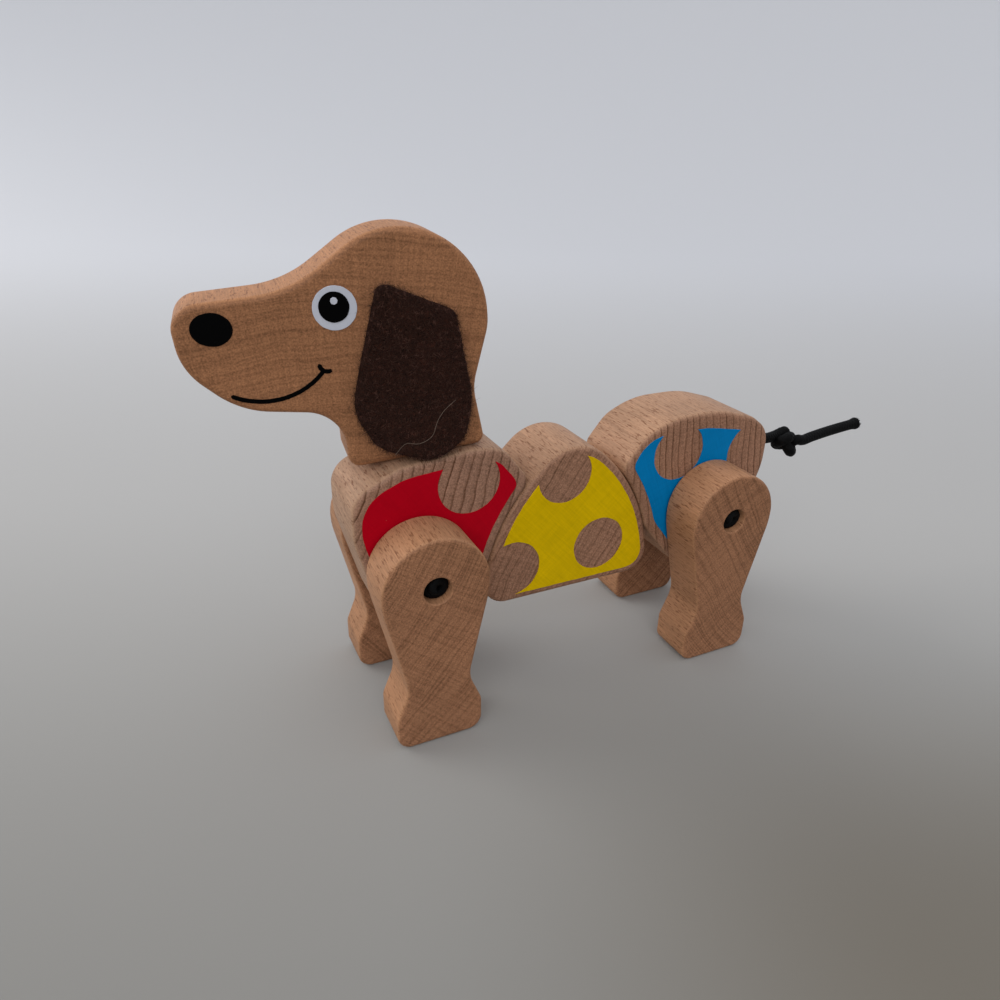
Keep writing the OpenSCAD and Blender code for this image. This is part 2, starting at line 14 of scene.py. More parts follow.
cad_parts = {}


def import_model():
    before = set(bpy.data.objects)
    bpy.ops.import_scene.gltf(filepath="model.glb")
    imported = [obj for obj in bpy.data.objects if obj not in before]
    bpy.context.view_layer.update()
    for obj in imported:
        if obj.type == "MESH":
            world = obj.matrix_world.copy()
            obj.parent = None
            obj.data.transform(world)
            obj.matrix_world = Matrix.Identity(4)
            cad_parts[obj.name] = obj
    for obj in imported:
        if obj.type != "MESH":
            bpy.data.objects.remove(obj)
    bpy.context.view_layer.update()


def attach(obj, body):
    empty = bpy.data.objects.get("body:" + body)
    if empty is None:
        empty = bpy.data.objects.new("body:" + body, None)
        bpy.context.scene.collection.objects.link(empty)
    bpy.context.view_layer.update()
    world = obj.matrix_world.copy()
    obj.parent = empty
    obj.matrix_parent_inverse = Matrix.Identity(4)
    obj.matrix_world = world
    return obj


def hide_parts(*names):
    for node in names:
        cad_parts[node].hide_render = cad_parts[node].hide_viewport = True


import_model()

# %% [markdown]
# ## Camera
# The photo was taken by hand from above the left shoulder of the dog, close to it, with a wide
# lens. Its place was worked out from the legs, which are all the same height and stand upright.

# %% Set the camera where the photo was taken
CAMERA_AT = (-0.08809, -0.17457, 0.15173)
CAMERA_RIGHT = (0.90513, -0.42481, 0.01646)
CAMERA_UP = (0.17471, 0.40699, 0.89657)
CAMERA_BACK = (-0.38757, -0.80864, 0.44260)
FOCAL_PX = 750
PHOTO_PX = 1000
SENSOR_MM = 36

scene = bpy.context.scene
camera_data = bpy.data.cameras.new("photo_camera")
camera_data.sensor_width = SENSOR_MM
camera_data.lens = FOCAL_PX / PHOTO_PX * SENSOR_MM
camera_data.clip_start = 0.005
camera_data.clip_end = 20
camera = bpy.data.objects.new("photo_camera", camera_data)
turned = Matrix((CAMERA_RIGHT, CAMERA_UP, CAMERA_BACK)).transposed().to_4x4()
camera.matrix_world = Matrix.Translation(CAMERA_AT) @ turned
scene.collection.objects.link(camera)
scene.camera = camera
print("lens:", camera_data.lens, "mm")

# %% [markdown]
# ## Sizes
# The outlines below repeat the sizes of the solids, in millimetres, with x counted from the front
# leg axle. Blender works in metres about the middle of the dog, so a mesh is moved and scaled once,
# when it is made.

# %% Shared sizes in millimetres
MM = 0.001
ORIGIN_X = 33.584
WHEELBASE = 94.0
AXLE_H = 48.4
HALF_BLOCK = 11.5
BELLY_Z = 28.7
BACK_Z = 77.0
REAR_Z = 77.8
CHEST = 16.6
RUMP_X = WHEELBASE + 23.0
EDGE_R = 1.5
SEAT_GAP = 0.3
FILM = 0.2
LEG_IN = HALF_BLOCK + FILM + 0.3
LEG_OUT = LEG_IN + 14.4
LEG_R = 14.5
HALF_HEAD = 7.5
NECK_X = 3.6
NECK_Z = BACK_Z + 0.3
SPINE_Z = 61.4
CORD_D = 3.4
BORE_D = 5.4
LEG_BORE_D = 4.4
SINK_D = 7.6
SINK_DEPTH = 7.0
LEFT, RIGHT = -1, 1


def world(points):
    """Millimetres counted from the front axle, made into metres about the middle of the dog."""
    return (np.asarray(points, float) - (ORIGIN_X, 0, 0)) * MM


# %% [markdown]
# The head stands on the slope of the back and looks a little to the dog's right. It is drawn as if
# it stood straight, with z counted from the foot of its neck, and then turned about the vertical
# and leaned forward about the foot.

# %% Where the head stands
LEAN, TURN = math.radians(5), math.radians(6)
HEAD_STAND = (Matrix.Translation((NECK_X, 0, NECK_Z)) @ Matrix.Rotation(-LEAN, 4, "Y")
              @ Matrix.Rotation(-TURN, 4, "Z") @ Matrix.Translation((-NECK_X, 0, 0)))
TO_METRES = Matrix.Diagonal((MM, MM, MM, 1)) @ Matrix.Translation((-ORIGIN_X, 0, 0))
HEAD_IN_METRES = TO_METRES @ HEAD_STAND @ TO_METRES.inverted()


def on_head(points):
    """Points of the straight head, in millimetres, brought to where the head stands."""
    turned = np.array(HEAD_STAND)
    return np.asarray(points, float) @ turned[:3, :3].T + turned[:3, 3]


print("nose at", np.round(on_head([(-46.3, 0, 38.4)])[0], 1), "mm from the front axle")

# %% [markdown]
# ## The tail cord
# One elastic cord strings the dog together and comes out at the rump as its tail, with an
# overhand knot that keeps it from slipping back. The photo shows this tail from end to end.
# The tied part of an overhand knot is a trefoil with one of its three lobes opened, so a short
# formula gives it, and a smooth curve through a few more points leads in and out.

# %% The line of the tail
KNOT_AT, KNOT_HIGH = 138.2, 57.8
TAIL_START = RUMP_X - 12
KNOT_SIZE, KNOT_DEEP, KNOT_TURN = 1.4, 1.8, math.radians(30)


def overhand(steps):
    """The tied part of an overhand knot: a trefoil's line, x = -(sin t + 2 sin 2t) and
    z = -(cos t - 2 cos 2t), with depth -sin 3t, opened where its top lobe would be and turned."""
    t = np.radians(np.linspace(215, 500, steps))
    wide, tall = -(np.sin(t) + 2 * np.sin(2 * t)), -(np.cos(t) - 2 * np.cos(2 * t))
    c, s = KNOT_SIZE * math.cos(KNOT_TURN), KNOT_SIZE * math.sin(KNOT_TURN)
    return np.stack([KNOT_AT + c * wide + s * tall, -KNOT_DEEP * np.sin(3 * t),
                     KNOT_HIGH + c * tall - s * wide], axis=1)


KNOT_POINTS = 19
INTO_KNOT = [(TAIL_START, 0, SPINE_Z), (RUMP_X - 5, 0, SPINE_Z), (RUMP_X + 3, 0.2, SPINE_Z - 0.3),
             (KNOT_AT - 9.5, 0.9, 59.7), (KNOT_AT - 4.4, 1.9, 59.5)]
OUT_OF_KNOT = [(KNOT_AT + 5.2, -1.7, 57.7), (KNOT_AT + 10, -1.1, 58.1), (KNOT_AT + 20, -0.2, 58.7),
               (KNOT_AT + 31.9, 0.4, 59.3)]
TAIL_ROUTE = np.vstack([INTO_KNOT, overhand(KNOT_POINTS), OUT_OF_KNOT])
print("the knot is", np.round(np.ptp(overhand(KNOT_POINTS), axis=0), 1), "mm across its line")

# %% [markdown]
# A smooth curve runs through those points, and it is then walked in even steps.

# %% A smooth line in even steps
def smooth_line(points, steps):
    """Cubic curve through points: each stretch leaves one point along the chord of its neighbours
    and reaches the next one the same way."""
    p = np.vstack([points[:1], points, points[-1:]])
    a, b, c, d = (p[i:len(p) - 3 + i, None] for i in range(4))
    t = (np.arange(steps) / steps)[None, :, None]
    curve = 0.5 * (2 * b + t * (c - a) + t**2 * (2 * a - 5 * b + 4 * c - d)
                   + t**3 * (3 * b - a - 3 * c + d))
    return np.vstack([curve.reshape(-1, 3), points[-1:]])


def even_line(line, gap):
    """The same line with its points a fixed gap apart."""
    along = np.r_[0, np.cumsum(np.linalg.norm(np.diff(line, axis=0), axis=1))]
    n = max(2, int(round(along[-1] / gap)) + 1)
    at = np.linspace(0, along[-1], n)
    return np.stack([np.interp(at, along, line[:, i]) for i in range(3)], axis=1), at


tail_line, tail_at = even_line(smooth_line(TAIL_ROUTE, 24), 0.25)
print("tail cord:", round(tail_at[-1], 1), "mm long in", len(tail_line), "points")

# %% [markdown]
# A tube needs a frame of two directions at each point of its line. If each frame is only tilted
# as much as the line bends, the tube doesn't twist.

# %% Directions along a line
def carried_frames(line, first=(0.0, 0.0, 1.0)):
    """Direction of the line and two sideways directions at each point, carried along unturned."""
    tangent = np.gradient(line, axis=0)
    tangent /= np.linalg.norm(tangent, axis=1)[:, None]
    side = np.empty_like(tangent)
    u = np.array(first, float)
    for i, t in enumerate(tangent):
        u = u - (u @ t) * t
        u /= np.linalg.norm(u)
        side[i] = u
    return tangent, side, np.cross(tangent, side)


print("the tail ends along", np.round(carried_frames(tail_line)[0][-1], 2))


# %% [markdown]
# Every surface in this lesson is a grid of points. One call makes the faces between neighbouring
# rows, and another turns points and faces into a finished object that rides on a body.

# %% Grids and pieces
def grid_faces(rows, columns, wrap=True):
    """Quads between neighbouring rows of a grid of points, closed round the columns if wrapped."""
    i = np.arange(rows - 1)[:, None]
    j = np.arange(columns if wrap else columns - 1)[None, :]
    k = (j + 1) % columns
    return np.stack([i * columns + j, i * columns + k, (i + 1) * columns + k, (i + 1) * columns + j],
                    axis=-1).reshape(-1, 4)


def make_piece(name, points, faces, body, material, smooth=True):
    """A finished object from points in millimetres, riding on a body, with its material."""
    mesh = bpy.data.meshes.new(name)
    mesh.from_pydata(world(points).tolist(), [], [list(map(int, f)) for f in faces])
    mesh.validate()
    mesh.update()
    mesh.shade_smooth() if smooth else mesh.shade_flat()
    piece = bpy.data.objects.new(name, mesh)
    scene.collection.objects.link(piece)
    if material is not None:
        mesh.materials.append(material)
    if body is not None:
        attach(piece, body)
    return piece


def set_uv(piece, uv):
    """Gives each face corner the two-number address of its point, for patterns that follow it."""
    mesh = piece.data
    corner_point = np.empty(len(mesh.loops), int)
    mesh.loops.foreach_get("vertex_index", corner_point)
    layer = mesh.uv_layers.new(name="surface")
    layer.data.foreach_set("uv", uv[corner_point].ravel().astype(np.float32))


# %% [markdown]
# A tube is a row of rings along its line. The elastic is covered by a braid: strands run round it
# both ways and pass over and under each other, so the radius rises and falls where two sets of
# helices cross.

# %% Tubes and braid
def tube(line, radius, sides):
    """Points and faces of a tube: each ring is the radius times the cosine and sine of the way
    round, laid along the two sideways directions. radius may change along and round the tube."""
    _, u, v = carried_frames(line)
    a = 2 * np.pi * np.arange(sides) / sides
    r = np.broadcast_to(radius, (len(line), sides))[..., None]
    way_round = np.cos(a)[None, :, None] * u[:, None] + np.sin(a)[None, :, None] * v[:, None]
    rings = line[:, None] + r * way_round
    n = len(line) * sides
    faces = list(grid_faces(len(line), sides)[:, ::-1])
    faces += [list(range(sides)), list(range(n - 1, n - sides - 1, -1))]
    return rings.reshape(-1, 3), faces


def braid_radius(along, sides, d, strands=8, pitch=5.2, relief=0.075):
    """Radius of a braided cover: half the diameter, less a groove between the strands. Along
    one set of helices the strand is on top for half a crossing and below for the next."""
    a = 2 * np.pi * np.arange(sides)[None, :] / sides
    way = 2 * np.pi * np.asarray(along)[:, None] / pitch
    left, right = strands / 2 * (a + way), strands / 2 * (a - way)
    over = 0.5 + 0.5 * np.sin(left) * np.sin(right)
    ridge = over * np.abs(np.cos(left / 2)) + (1 - over) * np.abs(np.cos(right / 2))
    return d / 2 - relief * d / 2 * (1 - ridge)


thinnest = braid_radius([0.0, 1.3], 48, CORD_D).min()
print(f"braid: its radius runs from {thinnest:.2f} to {CORD_D / 2:.2f} mm")

# %% [markdown]
# ## Shader tools
# A node material is a small program. These calls place a node, fill its sockets and wire it, so
# that the finishes below read as formulas. An effect that several finishes share is a node
# group: it only gives out colours, masks and heights, and the Principled shader stays outside.

# %% Short calls for nodes
class Desk:
    """Places and wires nodes in one tree."""

    def __init__(self, tree):
        self.tree = tree

    def add(self, kind, inputs=(), **settings):
        node = self.tree.nodes.new(kind)
        for key, value in settings.items():
            setattr(node, key, value)
        for key, value in dict(inputs).items():
            self.feed(node.inputs[key], value)
        return node

    def feed(self, socket, value):
        if isinstance(value, bpy.types.NodeSocket):
            self.tree.links.new(value, socket)
        else:
            socket.default_value = value

    def math(self, operation, *values, clamp=False):
        values = dict(enumerate(values))
        return self.add("ShaderNodeMath", values, operation=operation, use_clamp=clamp).outputs[0]

    def plus(self, a, b, clamp=False):
        return self.math("ADD", a, b, clamp=clamp)

    def minus(self, a, b):
        return self.math("SUBTRACT", a, b)

    def times(self, a, b):
        return self.math("MULTIPLY", a, b)

    def vector(self, operation, *values):
        return self.add("ShaderNodeVectorMath", dict(enumerate(values)), operation=operation).outputs[0]

    def along(self, vector, way):
        """How far a point lies along a direction."""
        return self.add("ShaderNodeVectorMath", {0: vector, 1: way}, operation="DOT_PRODUCT").outputs["Value"]

    def scale(self, vector, amount):
        return self.add("ShaderNodeVectorMath", {0: vector, "Scale": amount}, operation="SCALE").outputs[0]

    def noise(self, vector, scale, detail=2.0, roughness=0.5):
        return self.add("ShaderNodeTexNoise", {"Vector": vector, "Scale": scale, "Detail": detail,
                                               "Roughness": roughness}).outputs["Fac"]

    def step(self, value, low, high):
        """0 below low, 1 above high, and a smooth rise between."""
        return self.add("ShaderNodeMapRange", {"Value": value, "From Min": low, "From Max": high},
                        interpolation_type="SMOOTHSTEP").outputs["Result"]

    def mix(self, factor, a, b, blend="MIX"):
        node = self.add("ShaderNodeMix", data_type="RGBA", blend_type=blend)
        for socket, value in ((node.inputs[0], factor), (node.inputs[6], a), (node.inputs[7], b)):
            self.feed(socket, value)
        return node.outputs[2]

    def join(self, x, y, z):
        return self.add("ShaderNodeCombineXYZ", {0: x, 1: y, 2: z}).outputs[0]


# %% [markdown]
# A group has named sockets, so each material that uses it can set its own values. A material
# keeps the numbers that are the same all over it on the shader's own sockets.

# %% Groups and materials
def new_group(name, inputs, outputs):
    """An empty node group with named sockets: (name, kind, default) each."""
    group = bpy.data.node_groups.new(name, "ShaderNodeTree")
    for title, kind, default in inputs:
        socket = group.interface.new_socket(name=title, in_out="INPUT", socket_type="NodeSocket" + kind)
        if default is not None:
            socket.default_value = default
    for title, kind in outputs:
        group.interface.new_socket(name=title, in_out="OUTPUT", socket_type="NodeSocket" + kind)
    desk = Desk(group)
    return group, desk, desk.add("NodeGroupInput").outputs, desk.add("NodeGroupOutput").inputs


def new_material(name, roughness=0.5, **sockets):
    """A Principled material with its constant values set on the shader's own sockets."""
    material = bpy.data.materials.new(name)
    material.use_nodes = True
    shader = material.node_tree.nodes["Principled BSDF"]
    shader.inputs["Roughness"].default_value = roughness
    for key, value in sockets.items():
        shader.inputs[key.replace("_", " ")].default_value = value
    return material, Desk(material.node_tree), shader.inputs


def place(desk):
    """Where a point lies on its piece, in metres, whatever the joints do."""
    return desk.add("ShaderNodeTexCoord").outputs["Object"]


def use_group(desk, group, values):
    """Places a node group, fills its sockets and gives back its outputs."""
    node = desk.tree.nodes.new("ShaderNodeGroup")
    node.node_tree = group
    for key, value in values.items():
        desk.feed(node.inputs[key], value)
    return node.outputs


def bump(desk, height, strength, distance):
    return desk.add("ShaderNodeBump", {"Height": height, "Strength": strength, "Distance": distance}).outputs[0]


# %% [markdown]
# ## Beech
# The blocks were sawn so that the fibres run through them, from the dog's left side to its right.
# So the flat sides are end grain: darker, with growth rings and rays that cross like a weave.
# The narrow edges run along the fibres: paler, warmer and full of short dark flecks. One solid
# pattern in space gives both, because it doesn't know about faces: rings are distances from the
# tree's heart, rays are directions from it, and the flecks are noise stretched along the fibres.
# How far a face is end grain is kept in the mesh, as the part of its normal that lies across it.

# %% Growth rings
PER_MM = 1000.0
RING_WARP, RING_WOBBLE = 6.0, 0.5


def growth_rings(d, given, moved, split):
    """Rings about the tree's heart: the distance from it, waved by slow noise, counted in ring
    gaps. Gives the distance, the way round in millimetres and how dark the late wood is."""
    x, z = d.minus(split[0], given["Heart X"]), d.minus(split[2], given["Heart Z"])
    warp = d.times(d.minus(d.noise(moved, 0.035, 2), 0.5), RING_WARP)
    wobble = d.times(d.noise(moved, 0.45, 2), RING_WOBBLE)
    reach = d.math("SQRT", d.plus(d.times(x, x), d.times(z, z)))
    ring_at = d.plus(d.plus(reach, d.plus(warp, wobble)), d.times(split[1], 0.06))
    around = d.times(d.math("ARCTAN2", z, x), 150.0)
    ring = d.math("DIVIDE", ring_at, given["Ring Gap"])
    year, late = d.math("FLOOR", ring), d.math("FRACT", ring)
    luck = d.add("ShaderNodeTexWhiteNoise", {"W": d.plus(year, given["Seed"])},
                 noise_dimensions="1D").outputs["Value"]
    line = d.times(d.step(late, 0.72, 0.93), d.minus(1.0, d.step(late, 0.94, 1.0)))
    line = d.times(line, d.plus(0.45, d.times(luck, 0.55)))
    return ring_at, around, d.times(d.plus(line, d.times(late, 0.22)), given["Ring Depth"])


# %% [markdown]
# Rays run out from the heart, and fine threads of pores run across them. Each is noise that is
# close across its lines and stretched more than fifty times along them. The same trick along Y
# gives the flecks and the fibres of the narrow edges.

# %% Rays, threads and flecks
HATCH, HATCH_STRETCH = 1.9, 0.035


def weave_of_rays(d, ring_at, around, deep):
    """Two sets of fine lines that cross: one along the rays and one along the rings."""
    rays = d.noise(d.join(d.times(around, HATCH), d.times(ring_at, HATCH_STRETCH), deep), 1.0, 1, 0.5)
    threads = d.noise(d.join(d.times(ring_at, HATCH), d.times(around, HATCH_STRETCH), deep), 1.0, 1, 0.5)
    return d.plus(d.times(d.step(rays, 0.44, 0.62), 0.6), d.step(threads, 0.46, 0.64))


def drawn_out(d, at, across, along, *detail):
    """Noise stretched along the fibres, which run along Y."""
    return d.noise(d.vector("MULTIPLY", at, (across, along, across)), 1.0, *detail)


# %% [markdown]
# The group mixes a pale and a dark wood twice, once for the sawn sides and once for the edges, and
# then chooses between the two by how squarely the surface faces the sawn side.

# %% Node group: beech
SIDE_COOL, SIDE_WARM, SIDE_DARK = (0.46, 0.285, 0.185, 1), (0.46, 0.215, 0.10, 1), (0.17, 0.062, 0.027, 1)
END_COOL, END_WARM, END_DARK = (0.37, 0.207, 0.143, 1), (0.375, 0.168, 0.077, 1), (0.10, 0.04, 0.018, 1)


def build_beech():
    """Colour, roughness and height of beech whose fibres run along Y."""
    group, d, given, out = new_group("beech", [
        ("Position", "Vector", None), ("End Grain", "Float", 0.0), ("Heart X", "Float", 120.0),
        ("Heart Z", "Float", 120.0), ("Ring Gap", "Float", 3.0), ("Ring Depth", "Float", 0.5),
        ("Weave Depth", "Float", 0.5), ("Seed", "Float", 0.0), ("Warmth", "Float", 0.5),
    ], [("Color", "Color"), ("Roughness", "Float"), ("Height", "Float")])
    at, seed = given["Position"], given["Seed"]
    moved = d.vector("ADD", at, d.join(d.times(seed, 31.7), d.times(seed, 17.3), seed))
    split = d.add("ShaderNodeSeparateXYZ", {0: at}).outputs
    ring_at, around, rings = growth_rings(d, given, moved, split)
    weave = d.times(weave_of_rays(d, ring_at, around, d.times(split[1], 0.3)), given["Weave Depth"])
    pores = d.minus(d.noise(moved, 2.6, 1, 0.6), 0.5)
    long_pores = d.step(drawn_out(d, moved, 2.1, 0.34, 1.5, 0.55), 0.57, 0.68)
    fine_pores = d.step(drawn_out(d, moved, 4.0, 0.6, 1), 0.56, 0.70)
    flecks = d.plus(long_pores, d.times(fine_pores, 0.5))
    fibres = d.minus(drawn_out(d, moved, 2.8, 0.08, 2), 0.5)
    cloud = d.minus(d.noise(moved, 0.05, 3), 0.5)

    end = d.step(given["End Grain"], 0.35, 1.0)
    off_end = d.minus(1.0, end)
    side_amount = d.plus(d.times(flecks, 0.62), d.times(rings, 0.3), clamp=True)
    side = d.mix(side_amount, d.mix(given["Warmth"], SIDE_COOL, SIDE_WARM), SIDE_DARK)
    end_amount = d.plus(rings, d.times(weave, 0.5), clamp=True)
    ends = d.mix(end_amount, d.mix(given["Warmth"], END_COOL, END_WARM), END_DARK)
    side_tone = d.plus(1.0, d.plus(d.times(cloud, 0.5), d.times(fibres, 0.75)))
    end_tone = d.plus(1.0, d.plus(d.times(cloud, 0.4), d.times(pores, 1.3)))
    tone = d.plus(d.times(end, end_tone), d.times(off_end, side_tone))
    d.feed(out["Color"], d.scale(d.mix(end, side, ends), tone))
    d.feed(out["Roughness"], d.plus(0.52, d.times(pores, 0.2)))
    rough_end = d.minus(d.times(pores, 1.1), d.plus(rings, d.times(weave, 0.6)))
    rough_side = d.minus(d.times(fibres, 0.6), d.times(flecks, 0.5))
    d.feed(out["Height"], d.plus(d.times(end, rough_end), d.times(off_end, rough_side)))
    return group


beech_group = build_beech()
print("beech group:", len(beech_group.nodes), "nodes")

# %% [markdown]
# Each board gets its own beech: its own heart, ring gap, seed and warmth.

# %% Beech of one board
def beech(name, heart, gap=3.0, rings=0.5, weave=0.5, seed=0.0, warmth=0.5):
    """Beech of one board. heart is where the tree's middle lies, in millimetres from the origin."""
    material, d, shader = new_material(name, Specular_IOR_Level=0.15)
    end = d.add("ShaderNodeAttribute", attribute_name="end_grain").outputs["Fac"]
    at = d.add("ShaderNodeAttribute", attribute_name="in_board").outputs["Vector"]
    look = use_group(d, beech_group, {
        "Position": at, "End Grain": end, "Heart X": heart[0], "Heart Z": heart[1], "Ring Gap": gap,
        "Ring Depth": rings, "Weave Depth": weave, "Seed": seed, "Warmth": warmth})
    d.feed(shader["Base Color"], look["Color"])
    d.feed(shader["Roughness"], look["Roughness"])
    d.feed(shader["Normal"], bump(d, look["Height"], 0.35, 0.00012))
    return material


# %% [markdown]
# ## Boards
# Every wooden piece is a board: one outline of straight sides and round corners, cut through a
# plank, with a router's quarter round along both edges. Its surface is a grid. One way runs round
# the outline. The other runs from one face over the round edge, across the thickness and over the
# other round edge. On the round, the outline is drawn in by the radius times one less the sine.

# %% Outlines
OUTLINE_STEP = math.radians(3)


def outline(corners, inset=0.0):
    """Points round an outline of corners (x, z, radius), each corner an arc that touches both of
    its sides. Drawn in by inset, outer corners lose that much radius and inner corners gain it."""
    c = np.array([k[:2] for k in corners], float)
    edge = np.roll(c, -1, axis=0) - c
    edge /= np.linalg.norm(edge, axis=1)[:, None]
    e, f = np.roll(edge, 1, axis=0), edge
    bend = np.sign(e[:, 0] * f[:, 1] - e[:, 1] * f[:, 0])
    turn = np.arccos(np.clip((e * f).sum(axis=1), -1, 1))
    left_e = np.stack([-e[:, 1], e[:, 0]], axis=1)
    left_f = np.stack([-f[:, 1], f[:, 0]], axis=1)
    tip = c + (left_e + left_f) * (inset / (1 + np.cos(turn)))[:, None]
    r = np.maximum(0.05, np.array([k[2] for k in corners]) - bend * inset)
    middle = tip - e * (r * np.tan(turn / 2))[:, None] + (bend * r)[:, None] * left_e
    arcs = []
    for k in range(len(corners)):
        n = max(1, math.ceil(turn[k] / OUTLINE_STEP - 0.01))
        a = bend[k] * turn[k] * np.arange(n + 1) / n
        sx, sz = -bend[k] * r[k] * left_e[k]
        turned = np.stack([sx * np.cos(a) - sz * np.sin(a), sx * np.sin(a) + sz * np.cos(a)], axis=1)
        arcs.append(middle[k] + turned)
    return np.vstack(arcs)


square = outline([(0, 0, 1), (10, 0, 1), (10, 10, 1), (0, 10, 1)])
print("a rounded square has", len(square), "points and is", np.ptp(square[:, 0]), "mm wide")

# %% [markdown]
# The rings of a board are one outline drawn in by different amounts at different depths.

# %% Grids of boards
def board_grid(corners, y0, y1, edge, steps=9, flat=0.5):
    """Rings of a board from face to face: (points, rings, columns)."""
    a = np.linspace(0, np.pi / 2, steps)
    drawn, risen = edge * (1 - np.sin(a)), edge * (1 - np.cos(a))
    insets = np.r_[edge + flat, drawn, drawn[::-1], edge + flat]
    depths = np.r_[y0, y0 + risen, (y1 - risen)[::-1], y1]
    rings = [outline(corners, i) for i in insets]
    points = np.stack([np.insert(ring, 1, y, axis=1) for ring, y in zip(rings, depths)])
    return points.reshape(-1, 3), len(insets), len(rings[0])


def board_faces(rows, columns):
    n = rows * columns
    return list(grid_faces(rows, columns)) + [list(range(columns))[::-1], list(range(n - columns, n))]


# %% [markdown]
# Holes are drilled afterwards, as in the workshop: a drill is a turned solid, given by its radius
# at each depth, and it is taken away from the board. Its steps make a counterbore or a countersink.

# %% Drilling
def drill(axis, at, profile, sides=64):
    """A turned solid: rings whose radius follows profile, a list of (place along axis, radius)."""
    a = 2 * np.pi * np.arange(sides) / sides
    along = np.array([p[0] for p in profile], float)
    radius = np.array([p[1] for p in profile], float)
    ring = np.stack([radius[:, None] * np.cos(a), radius[:, None] * np.sin(a),
                     np.broadcast_to(along[:, None], (len(along), sides))], axis=-1)
    order = {"x": (2, 0, 1), "y": (1, 2, 0), "z": (0, 1, 2)}[axis]
    points = ring[..., list(order)].reshape(-1, 3) + np.array(at, float)
    return points, board_faces(len(along), sides)


# %% [markdown]
# A drilled hole is taken away as a solid, so its wall belongs to the board and shows its wood.

# %% Taking away what is drilled
def plain_object(name, points, faces):
    mesh = bpy.data.meshes.new(name)
    mesh.from_pydata(world(points).tolist(), [], [list(map(int, f)) for f in faces])
    mesh.update()
    thing = bpy.data.objects.new(name, mesh)
    scene.collection.objects.link(thing)
    return thing


def volume(mesh):
    """Volume under the mesh: a third of the sum of each triangle's plane distance times its area."""
    mesh.calc_loop_triangles()
    p = np.empty(len(mesh.vertices) * 3)
    mesh.vertices.foreach_get("co", p)
    t = np.empty(len(mesh.loop_triangles) * 3, int)
    mesh.loop_triangles.foreach_get("vertices", t)
    a, b, c = p.reshape(-1, 3)[t.reshape(-1, 3)].transpose(1, 0, 2)
    return float(np.einsum("ij,ij->", a, np.cross(b, c)) / 6)


def taken_away(piece, cutters):
    """The piece with the turned solids taken away from it, one after the other."""
    for points, faces in cutters:
        cutter = plain_object("cutter", points, faces)
        if volume(cutter.data) < 0:
            cutter.data.flip_normals()
        cut = piece.modifiers.new("drill", "BOOLEAN")
        cut.operation, cut.solver, cut.object = "DIFFERENCE", "EXACT", cutter
        bpy.context.view_layer.update()
        cut_piece = piece.evaluated_get(bpy.context.evaluated_depsgraph_get())
        done = bpy.data.meshes.new_from_object(cut_piece)
        piece.modifiers.clear()
        old, piece.data = piece.data, done
        done.name = old.name
        bpy.data.meshes.remove(old)
        bpy.data.objects.remove(cutter)


# %% [markdown]
# The pattern of the wood has to know two things about a point: where it is in its own board, and
# whether it lies on a sawn side or on an edge. Both are kept in the mesh as attributes, so that
# they survive when the board is stood in its place.

# %% Making a board
def mark_wood(mesh):
    """Each point keeps its place in its own board, in millimetres. Each face corner keeps how
    squarely it faces the sawn side: its normal's part along Y."""
    places = np.empty(len(mesh.vertices) * 3, np.float32)
    mesh.vertices.foreach_get("co", places)
    layer = mesh.attributes.new("in_board", "FLOAT_VECTOR", "POINT")
    layer.data.foreach_set("vector", places / MM)
    normals = np.empty(len(mesh.loops) * 3, np.float32)
    mesh.corner_normals.foreach_get("vector", normals)
    layer = mesh.attributes.new("end_grain", "FLOAT", "CORNER")
    layer.data.foreach_set("value", np.abs(normals.reshape(-1, 3)[:, 1]))


def board(name, corners, y0, y1, body, node, material, drills=(), stand=None, edge=EDGE_R):
    """A wooden piece cut from a plank, drilled, stood in its place and standing for a CAD node."""
    points, rows, columns = board_grid(corners, y0, y1, edge)
    piece = plain_object(name, points, board_faces(rows, columns))
    if volume(piece.data) < 0:
        piece.data.flip_normals()
    taken_away(piece, drills)
    piece.data.shade_smooth()
    piece.data.set_sharp_from_angle(angle=math.radians(32))
    mark_wood(piece.data)
    if stand:
        piece.data.transform(stand)
    piece.data.materials.clear()
    piece.data.materials.append(material)
    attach(piece, body)
    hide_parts(node)
    print(f"{name}: {len(piece.data.polygons)} faces, {volume(piece.data) * 1e6:.1f} cm3")
    return piece


# %% [markdown]
# ## The three body blocks
# The middle block bulges on both sides in arcs about points beyond its other side. The end blocks
# are hollowed by arcs about the same points, so that the three fit each other like cupped hands.

# %% Outlines of the body
HUMP_R, HUMP_W, HUMP_Z = 53.6, 55.2, 73.8
MID_X = WHEELBASE / 2
HUMP_CX = HUMP_R - HUMP_W / 2
HUMP_CZ = BELLY_Z + 1.3
HUMP_LOW = math.radians(10.5)
HUMP_H = HUMP_Z - HUMP_CZ
HUMP_TOP = (HUMP_R**2 - HUMP_CX**2 - HUMP_H**2) / (2 * (HUMP_R - HUMP_H))
HUMP_HIGH = math.atan2(HUMP_H - HUMP_TOP, HUMP_CX) - math.radians(2.5)
SEAT_R = HUMP_R + SEAT_GAP
SEAT_LOW = math.asin((45.8 - HUMP_CZ) / SEAT_R)
print("hump: rises", round(HUMP_H, 1), "mm and starts", round(MID_X - HUMP_W / 2, 1), "mm behind the axle")

# %% [markdown]
# An outline is a list of corners, so each arc of a seat is one corner with a large radius.

# %% Corners of the seats
def side_corner(r, low, high):
    """Corner whose arc of radius r lies about the point that the middle block's left side is drawn
    about: the two tangents at the ends of the arc meet at the radius over the half angle's cosine."""
    m, d = (low + high) / 2, r / math.cos((high - low) / 2)
    return (MID_X + HUMP_CX - d * math.cos(m), HUMP_CZ + d * math.sin(m), r)


